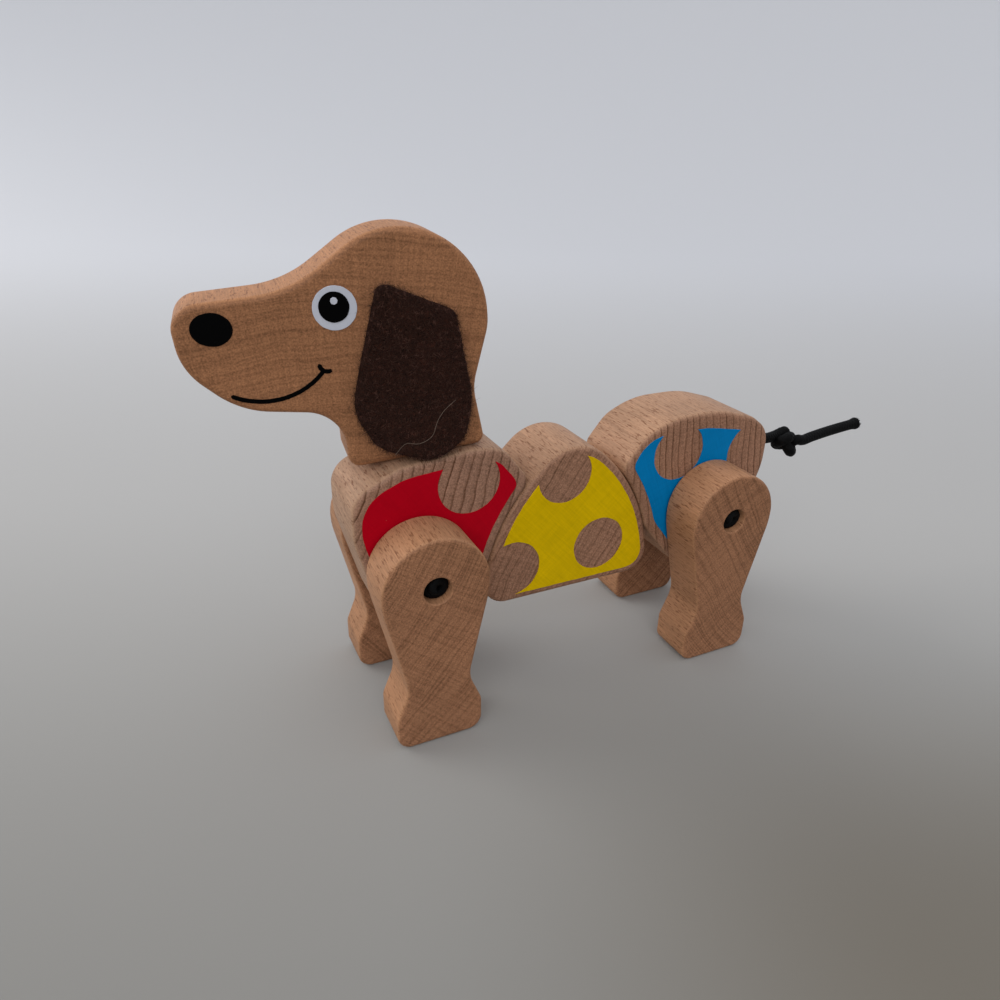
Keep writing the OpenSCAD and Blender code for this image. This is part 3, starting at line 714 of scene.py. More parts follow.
def up_side(corner, angle, length, r):
    return (corner[0] + length * math.sin(angle), corner[1] + length * math.cos(angle), r)


def flipped(corner):
    return (2 * MID_X - corner[0], corner[1], corner[2])


def hollow(horn_z):
    """Corners of a hollowed side: its foot, its arc and the horn above it, which ends at horn_z."""
    high = math.asin((horn_z - HUMP_CZ) / SEAT_R)
    half = SEAT_R * math.tan((high - SEAT_LOW) / 2)
    seat = side_corner(SEAT_R, SEAT_LOW, high)
    return [up_side(seat, SEAT_LOW, -half - 2.25, 9), seat, up_side(seat, high, half + 3.78, 4.2)]


# %% [markdown]
# The middle block is one such corner, drawn twice, under a rounded peak. The end blocks repeat
# their hollow at the inner side, and each has its own back.

# %% Outlines of the three blocks
hump_side = side_corner(HUMP_R, HUMP_LOW, HUMP_HIGH)
hump_foot = up_side(hump_side, HUMP_LOW, -(hump_side[1] - BELLY_Z) / math.cos(HUMP_LOW), 7)
hump_peak = up_side(hump_side, HUMP_HIGH, (MID_X - hump_side[0]) / math.sin(HUMP_HIGH), 0)
hump_top_r = (hump_peak[1] - HUMP_Z) / (1 / math.sin(HUMP_HIGH) - 1)
middle_outline = [hump_foot, flipped(hump_foot), flipped(hump_side),
                  (MID_X, hump_peak[1], hump_top_r), hump_side]


def back_at(x):
    """Height of the back of the front block, which falls towards the chest."""
    return BACK_Z + (x - NECK_X) * math.tan(LEAN)


def front_shape(chest, corner_r):
    return [(-9, BELLY_Z, 8), (9, BELLY_Z, 6), *hollow(63.5), (24.6, BACK_Z + 0.2, 8),
            (16.5, back_at(16.5), 30), (-3.5, back_at(-3.5), 14), (-chest, BACK_Z - 6.8, corner_r),
            (-chest, AXLE_H + 9, 20)]


def rear_shape(top):
    return [(WHEELBASE - 9, BELLY_Z, 6), (RUMP_X - 8.4, BELLY_Z, 8), (RUMP_X, AXLE_H + 9, 20),
            (RUMP_X, REAR_Z - 9, 9), *top, *[flipped(c) for c in reversed(hollow(61.3))]]


front_outline = front_shape(CHEST, 8)
rear_outline = rear_shape([(RUMP_X - 7, REAR_Z - 4, 9), (RUMP_X - 20, REAR_Z, 34),
                           (WHEELBASE - 15, REAR_Z, 28), (WHEELBASE - 24.3, REAR_Z - 4.6, 12)])
print("corners:", len(front_outline), len(middle_outline), len(rear_outline))

# %% [markdown]
# The spine's cord runs through all three blocks, with a countersunk mouth at the rump where it comes
# out as the tail. The cords of the legs cross the end blocks, and the neck's hole leans with the head.

# %% Drill and finish the body blocks
THROUGH = 200
bore = BORE_D / 2
spine = lambda x0, x1: drill("x", (0, 0, SPINE_Z), [(x0, bore), (x1, bore)])
leg_bore = lambda x: drill("y", (x, 0, AXLE_H), [(-THROUGH, bore), (THROUGH, bore)])
mouth = [(RUMP_X - 0.5, bore), (RUMP_X + 1.5, bore + 2)]
elbow_x = NECK_X + (NECK_Z - SPINE_Z) * math.tan(LEAN)
neck_depth = (NECK_Z - SPINE_Z) / math.cos(LEAN) + bore + 1
neck_bore, neck_bore_faces = drill("z", (NECK_X, 0, 0), [(-neck_depth, bore + 0.3), (THROUGH, bore + 0.3)])

front_wood = beech("beech_front_block", heart=(-182, 119), gap=2.75, rings=0.75, weave=0.3,
                   seed=1.3, warmth=0.1)
middle_wood = beech("beech_middle_block", heart=(139, -32), gap=2.4, rings=0.3, weave=0.5,
                    seed=2.7, warmth=0.3)
rear_wood = beech("beech_rear_block", heart=(230, 90), gap=2.4, rings=0.65, weave=0.3,
                  seed=4.1, warmth=0.3)

blocks = [("front", front_outline, front_wood, [leg_bore(0), spine(elbow_x, THROUGH),
                                                 (on_head(neck_bore), neck_bore_faces)]),
          ("middle", middle_outline, middle_wood, [spine(-THROUGH, THROUGH)]),
          ("rear", rear_outline, rear_wood, [leg_bore(WHEELBASE),
                                             drill("x", (0, 0, SPINE_Z), [(0, bore), *mouth])])]
for body, corners, wood, drills in blocks:
    board(f"{body}_block_wood", corners, -HALF_BLOCK, HALF_BLOCK, body, f"{body}_block", wood, drills)

# %% [markdown]
# ## The legs
# All four legs are one outline: a round head about the cord, a waist and a foot. A wide hole is
# drilled from outside for the knot, and a narrow one right through for the cord.

# %% Legs
FOOT, FOOT_H, WAIST, LEG_EDGE = 12.2, 10.0, 8.5, 1.1
leg_outline = [
    (-FOOT, 0, 4), (FOOT, 0, 4), (FOOT, FOOT_H, 5), (WAIST, FOOT_H + 9, 10), (LEG_R, AXLE_H - 3, 24),
    (LEG_R, AXLE_H + LEG_R, LEG_R - 0.01), (-LEG_R, AXLE_H + LEG_R, LEG_R - 0.01),
    (-LEG_R, AXLE_H - 3, 24), (-WAIST, FOOT_H + 9, 10), (-FOOT, FOOT_H, 5)]
leg_profile = [(0, LEG_BORE_D / 2), (LEG_OUT - SINK_DEPTH, LEG_BORE_D / 2),
               (LEG_OUT - SINK_DEPTH, SINK_D / 2), (LEG_OUT - 0.3, SINK_D / 2),
               (LEG_OUT + 1, SINK_D / 2 + 1.3)]
LEGS = [("front", 0.0, LEFT, (-160, 130)), ("front", 0.0, RIGHT, (160, 150)),
        ("rear", WHEELBASE, LEFT, (250, 170)), ("rear", WHEELBASE, RIGHT, (-90, 160))]
for number, (end, x, side, heart) in enumerate(LEGS):
    name = f"{end}_{'left' if side == LEFT else 'right'}_leg"
    wood = beech(f"beech_{name}", heart=heart, gap=3.4, rings=0.15, weave=0.65,
                 seed=5.5 + number, warmth=0.75)
    hole = drill("y", (x, 0, AXLE_H), [(side * y, r) for y, r in leg_profile])
    near, far = sorted((side * LEG_IN, side * LEG_OUT))
    board(f"{name}_wood", [(a + x, b, r) for a, b, r in leg_outline], near, far, name, name, wood,
          [hole], edge=LEG_EDGE)

# %% [markdown]
# ## The head
# The head is thinner than the body. It stands on the flat of the neck, and the cord comes up
# through it to a knot in a cross hole that the ears hide.

# %% Head
THROAT_X, NAPE_X = NECK_X - 17.75, NECK_X + 17.75
HEAD_H, SKULL_R, SNOUT = 55.3, 21.3, 46.3
MUZZLE_Z = HEAD_H - 10.9
THROAT_H = 14.4
SLOPE = math.radians(31)
skull_x = NECK_X + SKULL_R - 0.3
brow_x = skull_x - SKULL_R * (1 + math.tan(SLOPE / 2))
bridge_x = brow_x - 10.9 / math.tan(SLOPE)
EAR_FOOT, EAR_L = 0.6, 43.2
KNOT_Z = EAR_FOOT + 0.6 * EAR_L
head_outline = [
    (THROAT_X, 0, 3), (NAPE_X, 0, 2.4), (NAPE_X - 1.9, 15.5, 14),
    (skull_x, HEAD_H - SKULL_R - 3.5, 14), (skull_x, HEAD_H, SKULL_R - 0.02), (brow_x, HEAD_H, SKULL_R),
    (bridge_x, MUZZLE_Z, 28), (-SNOUT, MUZZLE_Z, 6),
    (-SNOUT, MUZZLE_Z - 14, 14), (10.1 - SNOUT, THROAT_H + 4.8, 20), (THROAT_X + 0.7, THROAT_H, 10)]
head_wood = beech("beech_head", heart=(-60, -120), gap=6.5, rings=0.14, weave=0.42,
                  seed=11.0, warmth=0.95)
cord_hole = drill("z", (NECK_X, 0, 0), [(-1, bore), (KNOT_Z, bore)])
cross_hole = drill("y", (NECK_X, 0, KNOT_Z), [(-THROUGH, SINK_D / 2), (THROUGH, SINK_D / 2)])
board("head_wood", head_outline, -HALF_HEAD, HALF_HEAD, "head", "head", head_wood,
      [cord_hole, cross_hole], stand=HEAD_IN_METRES)

# %% [markdown]
# ## Printed colour
# Each block carries a panel of opaque colour on both sides, screen-printed through an outline that
# stops short of the rounded edge. Round spots are left bare, and some of them run out into the
# bare rim. The film is far thinner than a sheet of paper, so the grain of the wood still shows
# through it as texture. Its edge isn't quite even: the ink crept a little along the pores.

# %% Node group: printed film
def build_print():
    """Colour, roughness and height of a film of ink over end grain."""
    group, d, given, out = new_group("printed_film", [
        ("Position", "Vector", None), ("Ink", "Color", None), ("Grain", "Float", 0.5), ("Lean", "Float", 0.8),
        ("Specks", "Float", 0.0), ("Gloss", "Float", 0.35), ("Seed", "Float", 0.0),
    ], [("Color", "Color"), ("Roughness", "Float"), ("Height", "Float")])
    at = d.vector("ADD", d.scale(given["Position"], PER_MM), d.join(given["Seed"], 0.0, given["Seed"]))
    turned = d.add("ShaderNodeVectorRotate", {"Vector": at, "Angle": given["Lean"]},
                   rotation_type="Y_AXIS").outputs[0]
    streaks = d.noise(d.vector("MULTIPLY", turned, (2.1, 0.3, 0.16)), 1.0, 2)
    across = d.noise(d.vector("MULTIPLY", turned, (0.12, 0.3, 1.5)), 1.0, 2)
    fine = d.noise(at, 2.6, 2, 0.6)
    cloud = d.noise(at, 0.07, 3)
    grain = d.plus(d.times(streaks, 0.6), d.times(across, 0.4))
    speck = d.step(d.noise(d.vector("ADD", at, (40.0, 0.0, 9.0)), 1.3, 1, 0.4), 0.80, 0.83)
    speck = d.times(speck, given["Specks"])
    uneven = d.times(d.minus(grain, 0.5), given["Grain"])
    tone = d.plus(1.0, d.plus(uneven, d.times(d.minus(cloud, 0.5), 0.22)))
    inked = d.scale(given["Ink"], tone)
    d.feed(out["Color"], d.mix(speck, inked, (0.55, 0.36, 0.25, 1)))
    rough = d.plus(given["Gloss"], d.times(d.minus(fine, 0.5), 0.25))
    d.feed(out["Roughness"], d.plus(rough, d.times(speck, 0.3)))
    height = d.plus(d.times(grain, given["Grain"]), d.times(fine, 0.5))
    d.feed(out["Height"], d.minus(height, d.times(speck, 0.8)))
    return group


print_group = build_print()


def ink(name, color, grain=0.5, lean=0.8, specks=0.0, gloss=0.4, seed=0.0, relief=0.00008, shine=0.06):
    """A printed colour over wood, as seen on every side of the piece."""
    material, d, shader = new_material(name, Specular_IOR_Level=shine)
    look = use_group(d, print_group, {
        "Position": place(d), "Ink": (*color, 1), "Grain": grain, "Lean": lean, "Specks": specks,
        "Gloss": gloss, "Seed": seed})
    d.feed(shader["Base Color"], look["Color"])
    d.feed(shader["Roughness"], look["Roughness"])
    d.feed(shader["Normal"], bump(d, look["Height"], 0.3, relief))
    return material


RED_INK = ink("red_ink", (0.475, 0.0002, 0.011), grain=0.3, lean=0.6, specks=0.4, gloss=0.45, seed=3.0)
YELLOW_INK = ink("yellow_ink", (0.72, 0.48, 0.0003), grain=0.5, lean=0.75, gloss=0.4, seed=8.0)
BLUE_INK = ink("blue_ink", (0.0, 0.205, 0.51), grain=0.3, lean=0.4, specks=0.15, gloss=0.45, seed=14.0)

# %% [markdown]
# A film is a plate of the printed outline. The outline is walked in short steps and each point
# is moved in or out by a few hundredths of a millimetre, by a sum of sines that never repeats in step.

# %% Films
def walked(loop, gap=0.7):
    """The closed outline with a point every gap millimetres, and the outward normal at each."""
    closed = np.vstack([loop, loop[:1]])
    along = np.r_[0, np.cumsum(np.linalg.norm(np.diff(closed, axis=0), axis=1))]
    at = np.linspace(0, along[-1], max(8, int(along[-1] / gap)), endpoint=False)
    p = np.stack([np.interp(at, along, closed[:, i]) for i in (0, 1)], axis=1)
    t = np.roll(p, -1, axis=0) - np.roll(p, 1, axis=0)
    t /= np.linalg.norm(t, axis=1)[:, None]
    return p, np.stack([t[:, 1], -t[:, 0]], axis=1), at


def crept(loop, amount, seed):
    """The outline with an uneven edge: the sum of four sines of its length, scaled to amount."""
    p, normal, at = walked(loop)
    length = at[-1] + at[1]
    waves = np.array([[3, 0.5], [11, 0.9], [29, 1.0], [67, 0.8]])
    s = sum(w * np.sin(2 * np.pi * n * at / length + seed * (k + 1.7)) for k, (n, w) in enumerate(waves))
    return p + normal * (amount * s / 2)[:, None], normal


def circle(x, z, r, steps=72):
    a = 2 * np.pi * np.arange(steps) / steps
    return np.stack([x + r * np.cos(a), z + r * np.sin(a)], axis=1)


def plate(loop, y_in, y_out, soft=0.06, normal=None):
    """A plate between two depths with its outer edge drawn in by soft."""
    drawn = loop if normal is None else loop - normal * soft
    rise = y_in + 0.6 * (y_out - y_in)
    rings = np.stack([np.insert(p, 1, y, axis=1) for p, y in ((loop, y_in), (loop, rise), (drawn, y_out))])
    return rings.reshape(-1, 3), board_faces(3, len(loop))


# %% [markdown]
# The bare spots are taken out of the film with crept outlines of their own. A corner of a printed
# outline is never sharp, so the panels' corners are eased by a short moving mean.

# %% A film with its bare spots
def film(name, loop, side, depth, body, node, material, spots=(), creep=0.05, seed=1.0, stand=None):
    """Printed film on one side of a piece, lying on the given depth, with spots left bare."""
    edge, normal = crept(loop, creep, seed)
    points, faces = plate(edge, side * depth, side * (depth + FILM), normal=normal)
    piece = plain_object(name, points, faces)
    if volume(piece.data) < 0:
        piece.data.flip_normals()
    cutters = []
    for k, (x, z, r) in enumerate(spots):
        hole, _ = crept(circle(x, z, r), creep, seed + 2.3 * k)
        rings = np.stack([np.insert(hole, 1, y, axis=1) for y in (side * (depth - 1), side * (depth + 1))])
        cutters.append((rings.reshape(-1, 3), board_faces(2, len(hole))))
    taken_away(piece, cutters)
    piece.data.shade_flat()
    piece.data.materials.clear()
    piece.data.materials.append(material)
    if stand:
        piece.data.transform(stand)
    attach(piece, body)
    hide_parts(node)
    return piece


def softened(loop, reach=1.3):
    """The outline with its corners eased: each point becomes the mean of its neighbours, weighed by
    a bell curve of their distance along it."""
    p, _, at = walked(loop, 0.35)
    step = at[1]
    k = np.arange(-round(3 * reach / step), round(3 * reach / step) + 1)
    weight = np.exp(-0.5 * (k * step / reach)**2)
    return sum(w * np.roll(p, -i, axis=0) for i, w in zip(k, weight / weight.sum()))


# %% [markdown]
# Each panel follows its block's outline, drawn in by a rim, and is printed on both sides.

# %% Print the panels
RIM, HUMP_RIM, SPOT_R = 3.1, 2.3, 8.8


def axle_spot(x):
    """The print stops at the hole for a leg cord, as one more bare spot."""
    return (x, AXLE_H, bore)


red_loop = outline(front_shape(CHEST + 0.9, 13.1), RIM)
yellow_loop = outline(middle_outline, HUMP_RIM)
blue_loop = outline(rear_shape([(RUMP_X - 8, REAR_Z - 4.8, 9), (WHEELBASE - 1.7, REAR_Z - 1.5, 43),
                                (WHEELBASE - 25.3, REAR_Z - 1.5, 14)]), RIM)
red_spots = [(14.7, BACK_Z - 7.8, SPOT_R), axle_spot(0)]
yellow_spots = [(MID_X - 3.4, HUMP_Z - 7.6, SPOT_R - 0.4), (MID_X + 9.3, BELLY_Z + 13.2, SPOT_R - 0.4),
                (MID_X - 19.15, BELLY_Z + 10.95, SPOT_R - 0.1)]
blue_spots = [(WHEELBASE - 11.9, REAR_Z - 10.9, SPOT_R), (RUMP_X - 6.4, REAR_Z - 14.9, SPOT_R + 0.9),
              axle_spot(WHEELBASE)]
panels = [("red", "front", red_loop, red_spots, "crimson_print", RED_INK),
          ("yellow", "middle", yellow_loop, yellow_spots, "yellow_print", YELLOW_INK),
          ("blue", "rear", blue_loop, blue_spots, "blue_print", BLUE_INK)]
for k, (tint, body, loop, spots, slot, material) in enumerate(panels):
    for side, word in ((LEFT, "left"), (RIGHT, "right")):
        film(f"{tint}_print_{word}", softened(loop), side, HALF_BLOCK, body, f"{tint}_panel_{word}",
             material, spots, seed=1.3 + k + 0.4 * side)
print("printed panels:", len(panels) * 2)

# %% [markdown]
# ## The face
# The face is printed on the flat sides of the head in two colours: a bluish white for the eye, and
# black on top of it for the pupil, the nose and the smile. The mouth is one stroke of a round-ended
# pen with a short tick across its end, so its outline is the pen's path moved half the width out.

# %% Inks of the face
EYE_INK = ink("eye_white_ink", (0.60, 0.62, 0.70), grain=0.12, lean=0.2, gloss=0.4, seed=21.0)
BLACK_INK = ink("face_black_ink", (0.0015, 0.0015, 0.0018), grain=0.3, lean=0.9, gloss=0.4,
                seed=25.0, shine=0.04)


def pen_stroke(line, width, cap_steps=10):
    """Outline of a round-ended pen stroke along a line."""
    t = np.gradient(line, axis=0)
    t /= np.linalg.norm(t, axis=1)[:, None]
    n = np.stack([-t[:, 1], t[:, 0]], axis=1)
    h = width / 2
    a = np.linspace(0, np.pi, cap_steps + 2)[1:-1, None]
    far = line[-1] + h * (n[-1] * np.cos(a) + t[-1] * np.sin(a))
    near = line[0] - h * (n[0] * np.cos(a) + t[0] * np.sin(a))
    return np.vstack([line + h * n, far, (line - h * n)[::-1], near])[::-1]


def arc(x, z, r, start, end, steps):
    a = np.radians(np.linspace(start, end, steps))
    return np.stack([x + r * np.cos(a), z + r * np.sin(a)], axis=1)


# %% [markdown]
# Every print of the face is placed from the tip of the snout and the top of the head.

# %% Print the face on both sides
EYE_X, EYE_Z = -11.4, HEAD_H - 15.7
MOUTH_X, MOUTH_Z, MOUTH_R, SMILE_END = 18 - SNOUT, HEAD_H - 17.6, 16.9, 315.5
TICK_R, TICK_LEAN, TICK_HALF = 1.75, 54, 51


def toward(degrees, length):
    return length * np.array([math.cos(math.radians(degrees)), math.sin(math.radians(degrees))])


lean = math.radians(-7)
leaning = np.array([[math.cos(lean), math.sin(lean)], [-math.sin(lean), math.cos(lean)]])
nose = circle(0, 0, 1) * (4.4, 3.65) @ leaning
nose = nose + (8.2 - SNOUT, HEAD_H - 16.6)
smile = arc(MOUTH_X, MOUTH_Z, MOUTH_R, 239, SMILE_END, 60)
tick_at = (MOUTH_X, MOUTH_Z) + toward(SMILE_END, MOUTH_R) + toward(TICK_LEAN, TICK_R)
tick = arc(*tick_at, TICK_R, 180 + TICK_LEAN - TICK_HALF, 180 + TICK_LEAN + TICK_HALF, 12)
for side, word in ((LEFT, "left"), (RIGHT, "right")):
    for part, shape, depth, slot, material in (
            ("eye", circle(EYE_X, EYE_Z, 5.0), 0, "white_print", EYE_INK),
            ("pupil", circle(EYE_X - 0.15, EYE_Z + 0.3, 3.45), 1, "black_print", BLACK_INK),
            ("glint", circle(EYE_X, EYE_Z + 1.7, 0.85), 2, "white_print", EYE_INK),
            ("nose", nose, 0, "black_print", BLACK_INK),
            ("mouth", pen_stroke(smile, 1.0), 0, "black_print", BLACK_INK)):
        film(f"{part}_print_{word}", shape, side, HALF_HEAD + depth * FILM, "head", f"{part}_{word}",
             material, creep=0.035, seed=4.0 + side, stand=HEAD_IN_METRES)
    film(f"mouth_tick_{word}", pen_stroke(tick, 1.0), side, HALF_HEAD + 0.001, "head", f"mouth_{word}",
         BLACK_INK, creep=0.02, seed=6.0, stand=HEAD_IN_METRES)
print("face prints:", 12)

# %% [markdown]
# ## Felt ears
# The ears are cut from thick wool felt. They are flat where they are glued to the head and curve a
# little away from it below. The surface is a set of rings: the ear's outline, shrunk step by step
# to its middle, once for each side, with a soft round edge between them. Its depth follows the
# bend, and slow noise gives it the lumps and dents of pressed wool.

# %% The felt surface
FELT = 3.0
EAR_W, EAR_FRONT, EAR_HANG, EAR_FLARE = 28.7, -10.8, 10.0, 1.8
EAR_TOP = EAR_FOOT + EAR_L
BEND_Z = EAR_TOP - EAR_HANG
BEND_R = (BEND_Z**2 + EAR_FLARE**2) / (2 * EAR_FLARE)
ear_corners = [(EAR_FRONT + across * EAR_W, EAR_FOOT + up * EAR_L, r) for across, up, r in (
    (0.13, 0.11, 9), (0.6, -0.034, 9.5), (0.92, 0.083, 9), (1.007, 0.315, 15), (0.934, 0.81, 3.5),
    (0.324, 1.018, 2.5), (-0.03, 0.35, 13))]
print("felt: bent at a radius of", round(BEND_R), "mm below", round(BEND_Z, 1), "mm")


def lumps(points, size, seed):
    """Slow unevenness at points: sines of three slanted directions, added up and kept within 1."""
    rng = np.random.default_rng(seed)
    way = rng.normal(size=(9, 3))
    way /= np.linalg.norm(way, axis=1)[:, None]
    phase, rate = rng.uniform(0, 2 * np.pi, 9), rng.uniform(0.7, 1.6, 9) / size
    return np.sin(points @ (way * rate[:, None]).T * 2 * np.pi + phase).sum(axis=1) / 4.5


def bend_out(z):
    """How far the ear stands off the head: nothing at the top, then the sagitta of its bend."""
    below = np.maximum(0, BEND_Z - z)
    return BEND_R - np.sqrt(BEND_R**2 - below**2)


# %% [markdown]
# The rings are stacked from the middle of the inner side out to the edge, round the soft edge by a
# half circle, and back to the middle of the outer side.

# %% Rings of a felt sheet
def felt_rings(loop, thickness, soft, seed):
    """Rings of a felt sheet, as (points, rings, columns): depth is measured from the head."""
    centre = loop.mean(axis=0)
    shrink = np.linspace(0.04, 1, 26)
    turn = np.linspace(0, np.pi, 11)[1:-1]
    edge, normal, _ = walked(loop, 0.8)
    face = [(edge - normal * soft - centre) * s + centre for s in shrink]
    rim = [edge - normal * soft * (1 - math.sin(a)) for a in turn]
    depth_in = [np.zeros(len(edge))] * len(face)
    depth_rim = [np.full(len(edge), thickness / 2 - (thickness / 2) * math.cos(a)) for a in turn]
    depth_out = [np.full(len(edge), thickness)] * len(face)
    flat = np.stack(face + rim + face[::-1])
    depth = np.stack(depth_in + depth_rim + depth_out)
    rows, columns = depth.shape
    xz, depth = flat.reshape(-1, 2), depth.ravel()
    at = np.stack([xz[:, 0], depth, xz[:, 1]], axis=1)
    bulge = 0.16 * lumps(at, 9.0, seed) + 0.07 * lumps(at, 2.6, seed + 1)
    depth = depth + bulge * np.where(depth > 0.3 * thickness, 1.0, 0.0)
    near_edge = np.r_[shrink, np.ones(len(turn)), shrink[::-1]] ** 6
    wave = 0.09 * lumps(at * (1, 0, 1), 5.0, seed + 2) * np.repeat(near_edge, columns)
    xz = xz + np.tile(normal, (rows, 1)) * wave[:, None]
    return np.stack([xz[:, 0], depth + bend_out(xz[:, 1]), xz[:, 1]], axis=1), rows, columns


# %% [markdown]
# The wool is a tangle of two sets of short strokes that cross, over slow clouds of light and dark.

# %% Felt material
def build_felt():
    """Brown wool felt: matted fibres seen as fine tangled lines, with lighter stray ones."""
    material, d, shader = new_material("brown_felt", 0.95, Sheen_Weight=0.06, Sheen_Roughness=0.6,
                                       Specular_IOR_Level=0.05)
    shader["Sheen Tint"].default_value = (0.55, 0.38, 0.33, 1)
    at = d.scale(place(d), PER_MM)
    swirl = d.add("ShaderNodeTexNoise", {"Vector": at, "Scale": 0.5, "Detail": 2.0}).outputs["Color"]
    bent = d.vector("ADD", at, d.scale(d.vector("SUBTRACT", swirl, (0.5, 0.5, 0.5)), 3.0))
    mat_a = d.noise(d.vector("MULTIPLY", bent, (5.5, 2.0, 1.1)), 1.0, 3, 0.6)
    mat_b = d.noise(d.vector("MULTIPLY", bent, (1.2, 2.0, 5.0)), 1.0, 3, 0.6)
    tangle = d.math("MAXIMUM", d.step(mat_a, 0.52, 0.72), d.step(mat_b, 0.52, 0.72))
    speck = d.noise(bent, 2.6, 2, 0.7)
    cloud = d.noise(at, 0.16, 3, 0.6)
    stray = d.step(d.noise(d.vector("MULTIPLY", bent, (0.8, 1.0, 7.0)), 1.0, 1, 0.4), 0.70, 0.78)
    tone = d.plus(d.times(speck, 3.4), d.minus(d.times(cloud, 0.9), 1.35))
    wool = d.scale((0.054, 0.019, 0.0125), tone)
    lighter = d.plus(d.times(tangle, 0.30), d.times(stray, 0.6), clamp=True)
    d.feed(shader["Base Color"], d.mix(lighter, wool, (0.13, 0.066, 0.048, 1)))
    height = d.plus(d.plus(tangle, d.times(speck, 1.2)), cloud)
    d.feed(shader["Normal"], bump(d, height, 1.0, 0.0007))
    return material


felt_material = build_felt()

# %% [markdown]
# Felt shows as felt by its nap: short fibres that stand off it, mostly along the cut edge, and a few
# long light ones. Each is a thin three-sided blade, bent along its length, of eleven faces.

# %% Fibres
def blades(lines, u, v, thin):
    """Three-sided blades along lines of four points. At each point a triangle is laid by cosine and
    sine along two sideways directions, as wide as thin says."""
    a = 2 * np.pi * np.arange(3) / 3
    ring = np.cos(a)[:, None] * u[:, None, None] + np.sin(a)[:, None] * v[:, None, None]
    points = (lines[:, :, None] + np.reshape(thin, (-1, 1, 1)) * ring).reshape(-1, 3)
    first = 12 * np.arange(len(lines))[:, None, None]
    sides = (np.array(grid_faces(4, 3)) + first).reshape(-1, 4)
    ends = (np.array([(2, 1, 0), (9, 10, 11)]) + first).reshape(-1, 3)
    return points, sides.tolist() + ends.tolist()


def fibres(points, normals, share, count, length, thickness, seed, flat=0.35):
    """Bent blades: each starts at a surface point, drawn by its share of the surface, and leans
    between its normal and a random way along the surface, on a curve that droops by its square."""
    rng = np.random.default_rng(seed)
    pick = rng.choice(len(points), count, p=share)
    root, up = points[pick] + rng.normal(0, 0.25, (count, 3)) * (1, 0.1, 1), normals[pick]
    way = rng.normal(size=(count, 3))
    way -= (way * up).sum(axis=1)[:, None] * up
    way /= np.linalg.norm(way, axis=1)[:, None]
    lift = rng.uniform(flat * 0.4, flat * 1.6, count)[:, None]
    reach = rng.gamma(3.0, length / 3.0, count)[:, None]
    t = np.linspace(0, 1, 4)[None, :, None]
    curl = rng.normal(0, 0.5, (count, 1, 3))
    bent = t * (way + lift * up)[:, None] + t**2 * curl * 0.6
    line = root[:, None] + reach[:, None] * bent - up[:, None] * 0.08
    return blades(line, np.cross(way, up), up, thickness / 2 * np.array([1.0, 0.9, 0.7, 0.3]))


# %% [markdown]
# The nap is as dark as the felt, with lighter tufts. One stray hair lies across the left ear.

# %% Nap and hair materials
nap_material, d, shader = new_material("felt_nap", 0.9, Specular_IOR_Level=0.2)
tuft = d.noise(d.scale(place(d), PER_MM), 0.9, 2)
d.feed(shader["Base Color"], d.mix(d.step(tuft, 0.42, 0.68), (0.030, 0.0115, 0.008, 1), (0.15, 0.07, 0.052, 1)))

hair_material, d, shader = new_material("stray_hair", 0.6, Specular_IOR_Level=0.2)
patches = d.noise(d.scale(place(d), PER_MM), 0.5)
d.feed(shader["Base Color"], d.mix(patches, (0.12, 0.08, 0.06, 1), (0.34, 0.25, 0.20, 1)))

# %% [markdown]
# Each ear is its felt sheet, and its nap grows on the outer side, more often farther from the
# middle. The left ear also carries the stray hair.

# %% Both ears
STRAY_HAIR = np.array([(-3.3, 3.6), (-0.4, 5.9), (3.0, 5.3), (6.4, 6.6), (8.3, 10.2), (10.4, 12.6),
                       (13.4, 14.6)])
ear_loop = outline(ear_corners)
for side, word in ((LEFT, "left"), (RIGHT, "right")):
    rings, rows, columns = felt_rings(ear_loop, FELT, 0.9, 40 + side)
    rings[:, 1] = side * (HALF_HEAD + rings[:, 1])
    outer = np.where(side * rings[:, 1] > HALF_HEAD + 0.4 * FELT)[0]
    rings = on_head(rings)
    faces = board_faces(rows, columns)
    ear = make_piece(f"ear_{word}_felt", rings, faces, f"ear_{word}", felt_material)
    if volume(ear.data) < 0:
        ear.data.flip_normals()
    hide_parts(f"ear_{word}")
    normals = np.empty(len(rings) * 3, np.float32)
    ear.data.vertices.foreach_get("normal", normals)
    normals = normals.reshape(-1, 3).astype(float)
    share = np.linalg.norm(rings[outer] - rings[outer].mean(axis=0), axis=1)
    share = share / share.sum()
    short = fibres(rings[outer], normals[outer], share, 7000, 0.8, 0.10, 70 + side)
    long = fibres(rings[outer], normals[outer], share, 45, 2.8, 0.08, 90 + side, flat=0.3)
    joined = short[1] + [[i + len(short[0]) for i in f] for f in long[1]]
    nap = make_piece(f"ear_{word}_nap", np.vstack([short[0], long[0]]), joined, f"ear_{word}",
                     nap_material)
    if side == LEFT:
        stray = np.insert(STRAY_HAIR, 1, -(HALF_HEAD + FELT + 0.3 + bend_out(STRAY_HAIR[:, 1])), axis=1)
        points, faces = tube(even_line(smooth_line(stray, 12), 0.3)[0], 0.055, 5)
        make_piece("ear_left_hair", on_head(points), faces, "ear_left",
                                hair_material)

# %% [markdown]
# ## Elastic cord
# The cord is rubber thread inside a braided black cover. The braid is real relief on the tube, and
# each strand is a bundle of fine threads, which a wave that follows the tube's own address draws.

